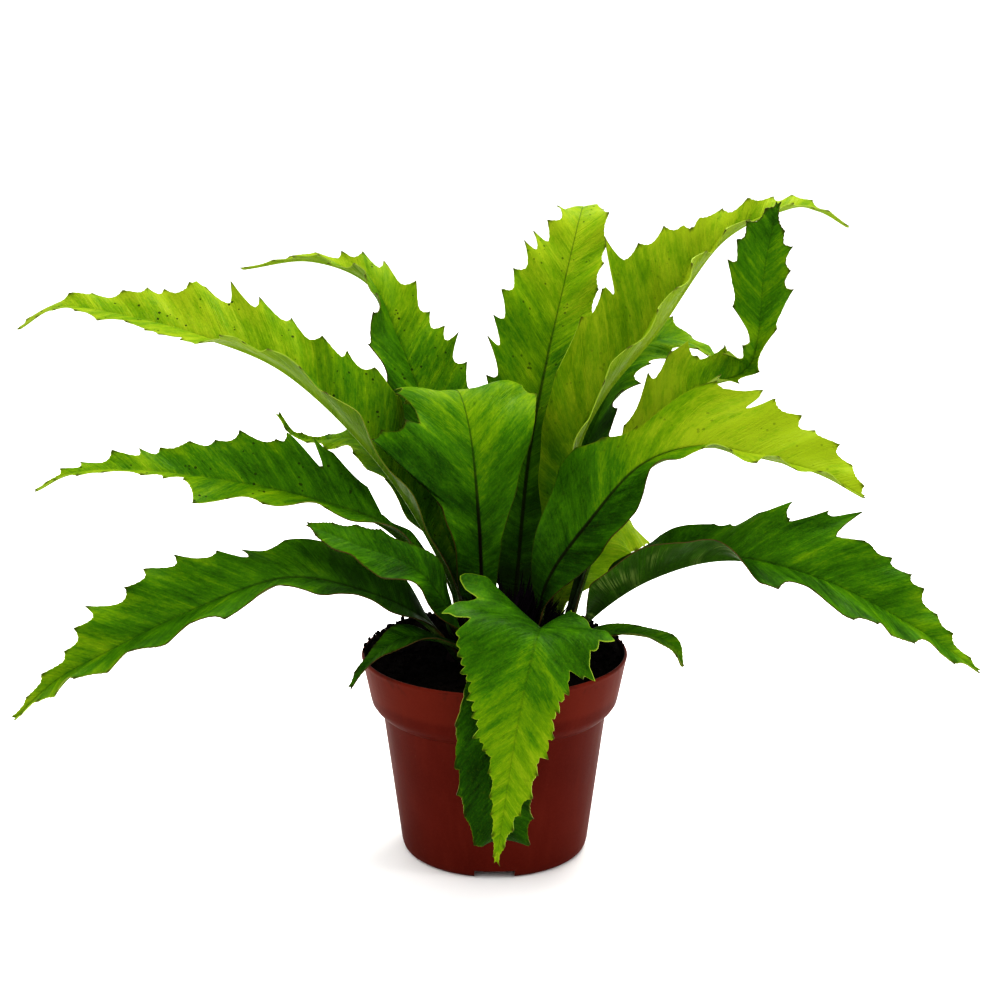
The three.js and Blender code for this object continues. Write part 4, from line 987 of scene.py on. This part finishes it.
def pot_piece(material):
    """The turned pot with its collar, drainage channels and drain holes."""
    h, rim, body, collar, c = POT["height"], POT["rim"], POT["body"], POT["collar"], POT["collar_from"]
    outside = [
        (0, 0, 0), (POT["base"] - 1.5, 0, 0.8), (POT["base"] + 0.6, 1.2, 1.2), (POT["foot"], 4, 1.2),
        (body, c, 0.7), (body + 1.7, c + 1.1, 0.8), (body + 3.5, c + 3, 0), (body + 4.9, c + 5.1, 0),
        (collar, c + 7, 0.8), (rim - 0.4, h - 2.2, 0.5), (rim, h - 0.9, 0.5), (rim - 0.5, h, 0.4),
        (rim - POT["wall"], h, 0.4),
    ]
    inside = [(*point, size) for point, size in zip(inner_wall(0)[::-1], (0, 1.5, 1, 0, 0))]
    profile = rounded([*outside, *inside, (0, POT["floor"], 0)])
    pot = turned(profile, 144, "pot_shell", [material])
    cut_out(pot, "channels", channel_box)
    cut_out(pot, "holes", drain_hole)
    shade_smooth(pot.data, 35)
    return pot


def soil_height(x, y):
    """The soil's rough top: a slight dome, higher at the back, in clumps, sunk at the wall."""
    radius = math.hypot(x, y)
    plain = SOIL["top"] + SOIL["dome"] * (1 - (radius / POT["rim"]) ** 2) + SOIL["slope"] * y
    clumps = ((1.5, 11, 3.1), (0.9, 4.3, 8.7), (0.45, 1.7, 1.9))
    rough = sum(high * noise.noise(Vector((x / size, y / size, layer))) for high, size, layer in clumps)
    sunk = (2.2 - 1.2 * float(smooth(y / 30))) * float(smooth((radius - 55) / 3.0))
    bank = 2.4 * float(smooth((radius - 38) / 14)) * float(smooth((y + 30) / 50))
    return plain + rough + bank - sunk


def soil_piece(material):
    """The soil: the pot's inside less a small gap, with a rough top."""
    sectors, edge, middle, rings = 150, 57.2, 3, 46
    rows = [[(x, y, z) for x, y in ring(r, sectors)] for r, z in inner_wall(SOIL["gap"])[:-1]]
    for r in np.linspace(edge, middle, rings):
        rows.append([(x, y, soil_height(x, y)) for x, y in ring(r, sectors)])
    points = [(0, 0, POT["floor"] + SOIL["gap"]), *sum(rows, []), (0, 0, soil_height(0, 0))]
    last = len(rows) - 1

    def spot(row, k):
        return 1 + row * sectors + k % sectors

    faces = []
    for k in range(sectors):
        faces.append((0, spot(0, k + 1), spot(0, k)))
        for row in range(last):
            faces.append((spot(row, k), spot(row, k + 1), spot(row + 1, k + 1), spot(row + 1, k)))
        faces.append((spot(last, k), spot(last, k + 1), len(points) - 1))
    return mesh_object("soil_fill", points, faces, [material])


def crumbs_piece(material):
    """Loose crumbs that lie on the soil, and a few on the pot's rim."""
    count, first_on_rim, reach, edge = 1010, 950, 57, 57.3
    rng = np.random.default_rng(41)
    whole = bmesh.new()
    for k in range(count):
        angle = rng.uniform(0, TURN)
        radius = reach * math.sqrt(rng.uniform(0.12, 1))
        size = rng.uniform(0.45, 1.0) + 1.1 * rng.uniform() ** 5
        on_rim = k >= first_on_rim
        if on_rim:
            angle = math.radians(rng.choice([rng.uniform(115, 185), rng.uniform(5, 60)]))
            radius, size = POT["rim"] - rng.uniform(0.5, 1.3), rng.uniform(0.4, 0.9)
        elif radius > 50 and math.sin(angle) > 0:
            size += rng.uniform(0, 0.7)
        if not on_rim:
            radius = min(radius, edge - size)
        at = (radius * math.cos(angle), radius * math.sin(angle))
        made = bmesh.ops.create_icosphere(whole, subdivisions=1, radius=1)["verts"]
        stretch = rng.uniform(0.6, 1.3, 3) * size
        turn = rng.uniform(0, math.pi)
        lift = 0.25 if at[1] < 0 else 0.45
        z = POT["height"] + 0.5 * size if on_rim else soil_height(*at) + lift * size
        for v in made:
            lump = 1 + 0.5 * noise.noise(v.co * 1.7 + Vector((k, 0, 0)))
            a, b, c = v.co.x * stretch[0] * lump, v.co.y * stretch[1] * lump, v.co.z * stretch[2] * 0.8 * lump
            v.co = Vector((*rotated(a, b, turn, at), z + c)) * MM
    mesh = bpy.data.meshes.new("soil_crumbs")
    whole.to_mesh(mesh)
    whole.free()
    mesh.materials.append(material)
    return linked("soil_crumbs", mesh)


def scales_piece(material):
    """Narrow papery scales that stand round the stalks on the crown."""
    count, spread, inner = 680, 28, 15
    # Each scale's half width at parts of its length, as a share of its widest
    outline_rows = ((0, 0.7), (0.35, 1), (0.7, 0.6), (1, 0.05))
    rng = np.random.default_rng(17)
    points, faces = [], []
    for _ in range(count):
        angle = rng.uniform(0, TURN)
        radius = spread * math.sqrt(rng.uniform(0, 1))
        drop = smooth((radius / CROWN["radius"] - 0.35) / 0.7)
        root = np.array([CROWN["x"] + radius * math.cos(angle), CROWN["y"] + radius * math.sin(angle),
                         CROWN["top"] - 1.0 - 9.5 * float(drop)])
        out = np.array([math.cos(angle), math.sin(angle), 0])
        side = np.array([-math.sin(angle + rng.normal(0, 0.6)), math.cos(angle + rng.normal(0, 0.6)), 0])
        length, width = rng.uniform(5, 14), rng.uniform(0.6, 1.3)
        if radius < inner:
            length += rng.uniform(0, 10)
        tip = out * rng.uniform(0.1, 0.9) + np.array([0, 0, 1.0])
        tip /= np.linalg.norm(tip)
        for j in range(len(outline_rows) - 1):
            a = len(points) + 2 * j
            faces.append((a, a + 1, a + 3, a + 2))
        for u, w in outline_rows:
            middle = root + tip * length * u + out * 1.6 * u * u
            points.extend([middle + side * width * w, middle - side * width * w])
    return mesh_object("crown_scales", points, faces, [material])


# Camera first: it stands where the photograph was taken from, and looks a little down
LOOKS_DOWN = 14.6
camera_data = bpy.data.cameras.new("camera")
camera_data.lens = 79.5
camera_data.sensor_width = 36
camera_data.clip_end = 20
camera = linked("camera", camera_data)
camera.location = (0.0025, -0.948, 0.410)
camera.rotation_euler = (math.radians(90 - LOOKS_DOWN), 0, 0)
bpy.context.scene.camera = camera

# Materials
leaf_materials = [blade_material("frond_upper_face", False), blade_material("frond_lower_face", True),
                  edge_material()]
soil_stuff = soil_material()

# Pieces
FROND_SHARP = 50
for spec in FRONDS:
    node = "frond_" + spec["name"]
    points, faces, kinds, facts = frond_mesh(spec)
    blade = mesh_object(node + "_blade", points, faces, leaf_materials, kinds, facts, FROND_SHARP)
    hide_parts(node)
    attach(blade, "root")

pot = pot_piece(pot_material())
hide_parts("pot")
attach(pot, "root")

soil = soil_piece(soil_stuff)
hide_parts("soil")
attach(soil, "root")

crumbs = crumbs_piece(soil_stuff)
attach(crumbs, "root")

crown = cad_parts["crown"]
crown.data.materials.clear()
crown.data.materials.append(crown_material("crown_fibre_fine", 0.4))
scales = scales_piece(crown_material("crown_scale", 0.25))
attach(scales, "root")

# Floor, light and air
FLOOR_HALF = 40e3
floor_shader = Shader("studio_floor")
floor_shader.surface(Tint.studio_floor, 0.7, 0.5)
corners = [(x * FLOOR_HALF, y * FLOOR_HALF, 0) for x, y in ((-1, -1), (1, -1), (1, 1), (-1, 1))]
floor = mesh_object("studio_floor", corners, [(0, 1, 2, 3)], [floor_shader.material])

world = bpy.data.worlds.new("studio")
world.use_nodes = True
air = world.node_tree.nodes["Background"].inputs
air["Color"].default_value = (1.0, 1.0, 1.0, 1)
air["Strength"].default_value = 1.08
bpy.context.scene.world = world
bpy.context.scene.view_settings.view_transform = "Standard"
bpy.context.scene.view_settings.look = "High Contrast"


def area_light(name, place, target, size, power, colour=(1, 1, 1)):
    """A round lamp at a place, turned to a target, in the scene's metres."""
    data = bpy.data.lights.new(name, "AREA")
    data.shape = "DISK"
    data.size = size
    data.energy = power
    data.color = colour
    lamp = linked(name, data)
    lamp.location = place
    lamp.rotation_euler = (Vector(target) - Vector(place)).to_track_quat("-Z", "Y").to_euler()


area_light("key", (0.25, 0.45, 1.25), (0, 0, 0.15), 0.8, 16, (1.0, 0.99, 0.94))
area_light("front", (-0.6, -1.0, 0.9), (0, 0, 0.15), 0.8, 4)
area_light("side", (1.2, -0.4, 0.6), (0, 0, 0.1), 0.4, 3.5)
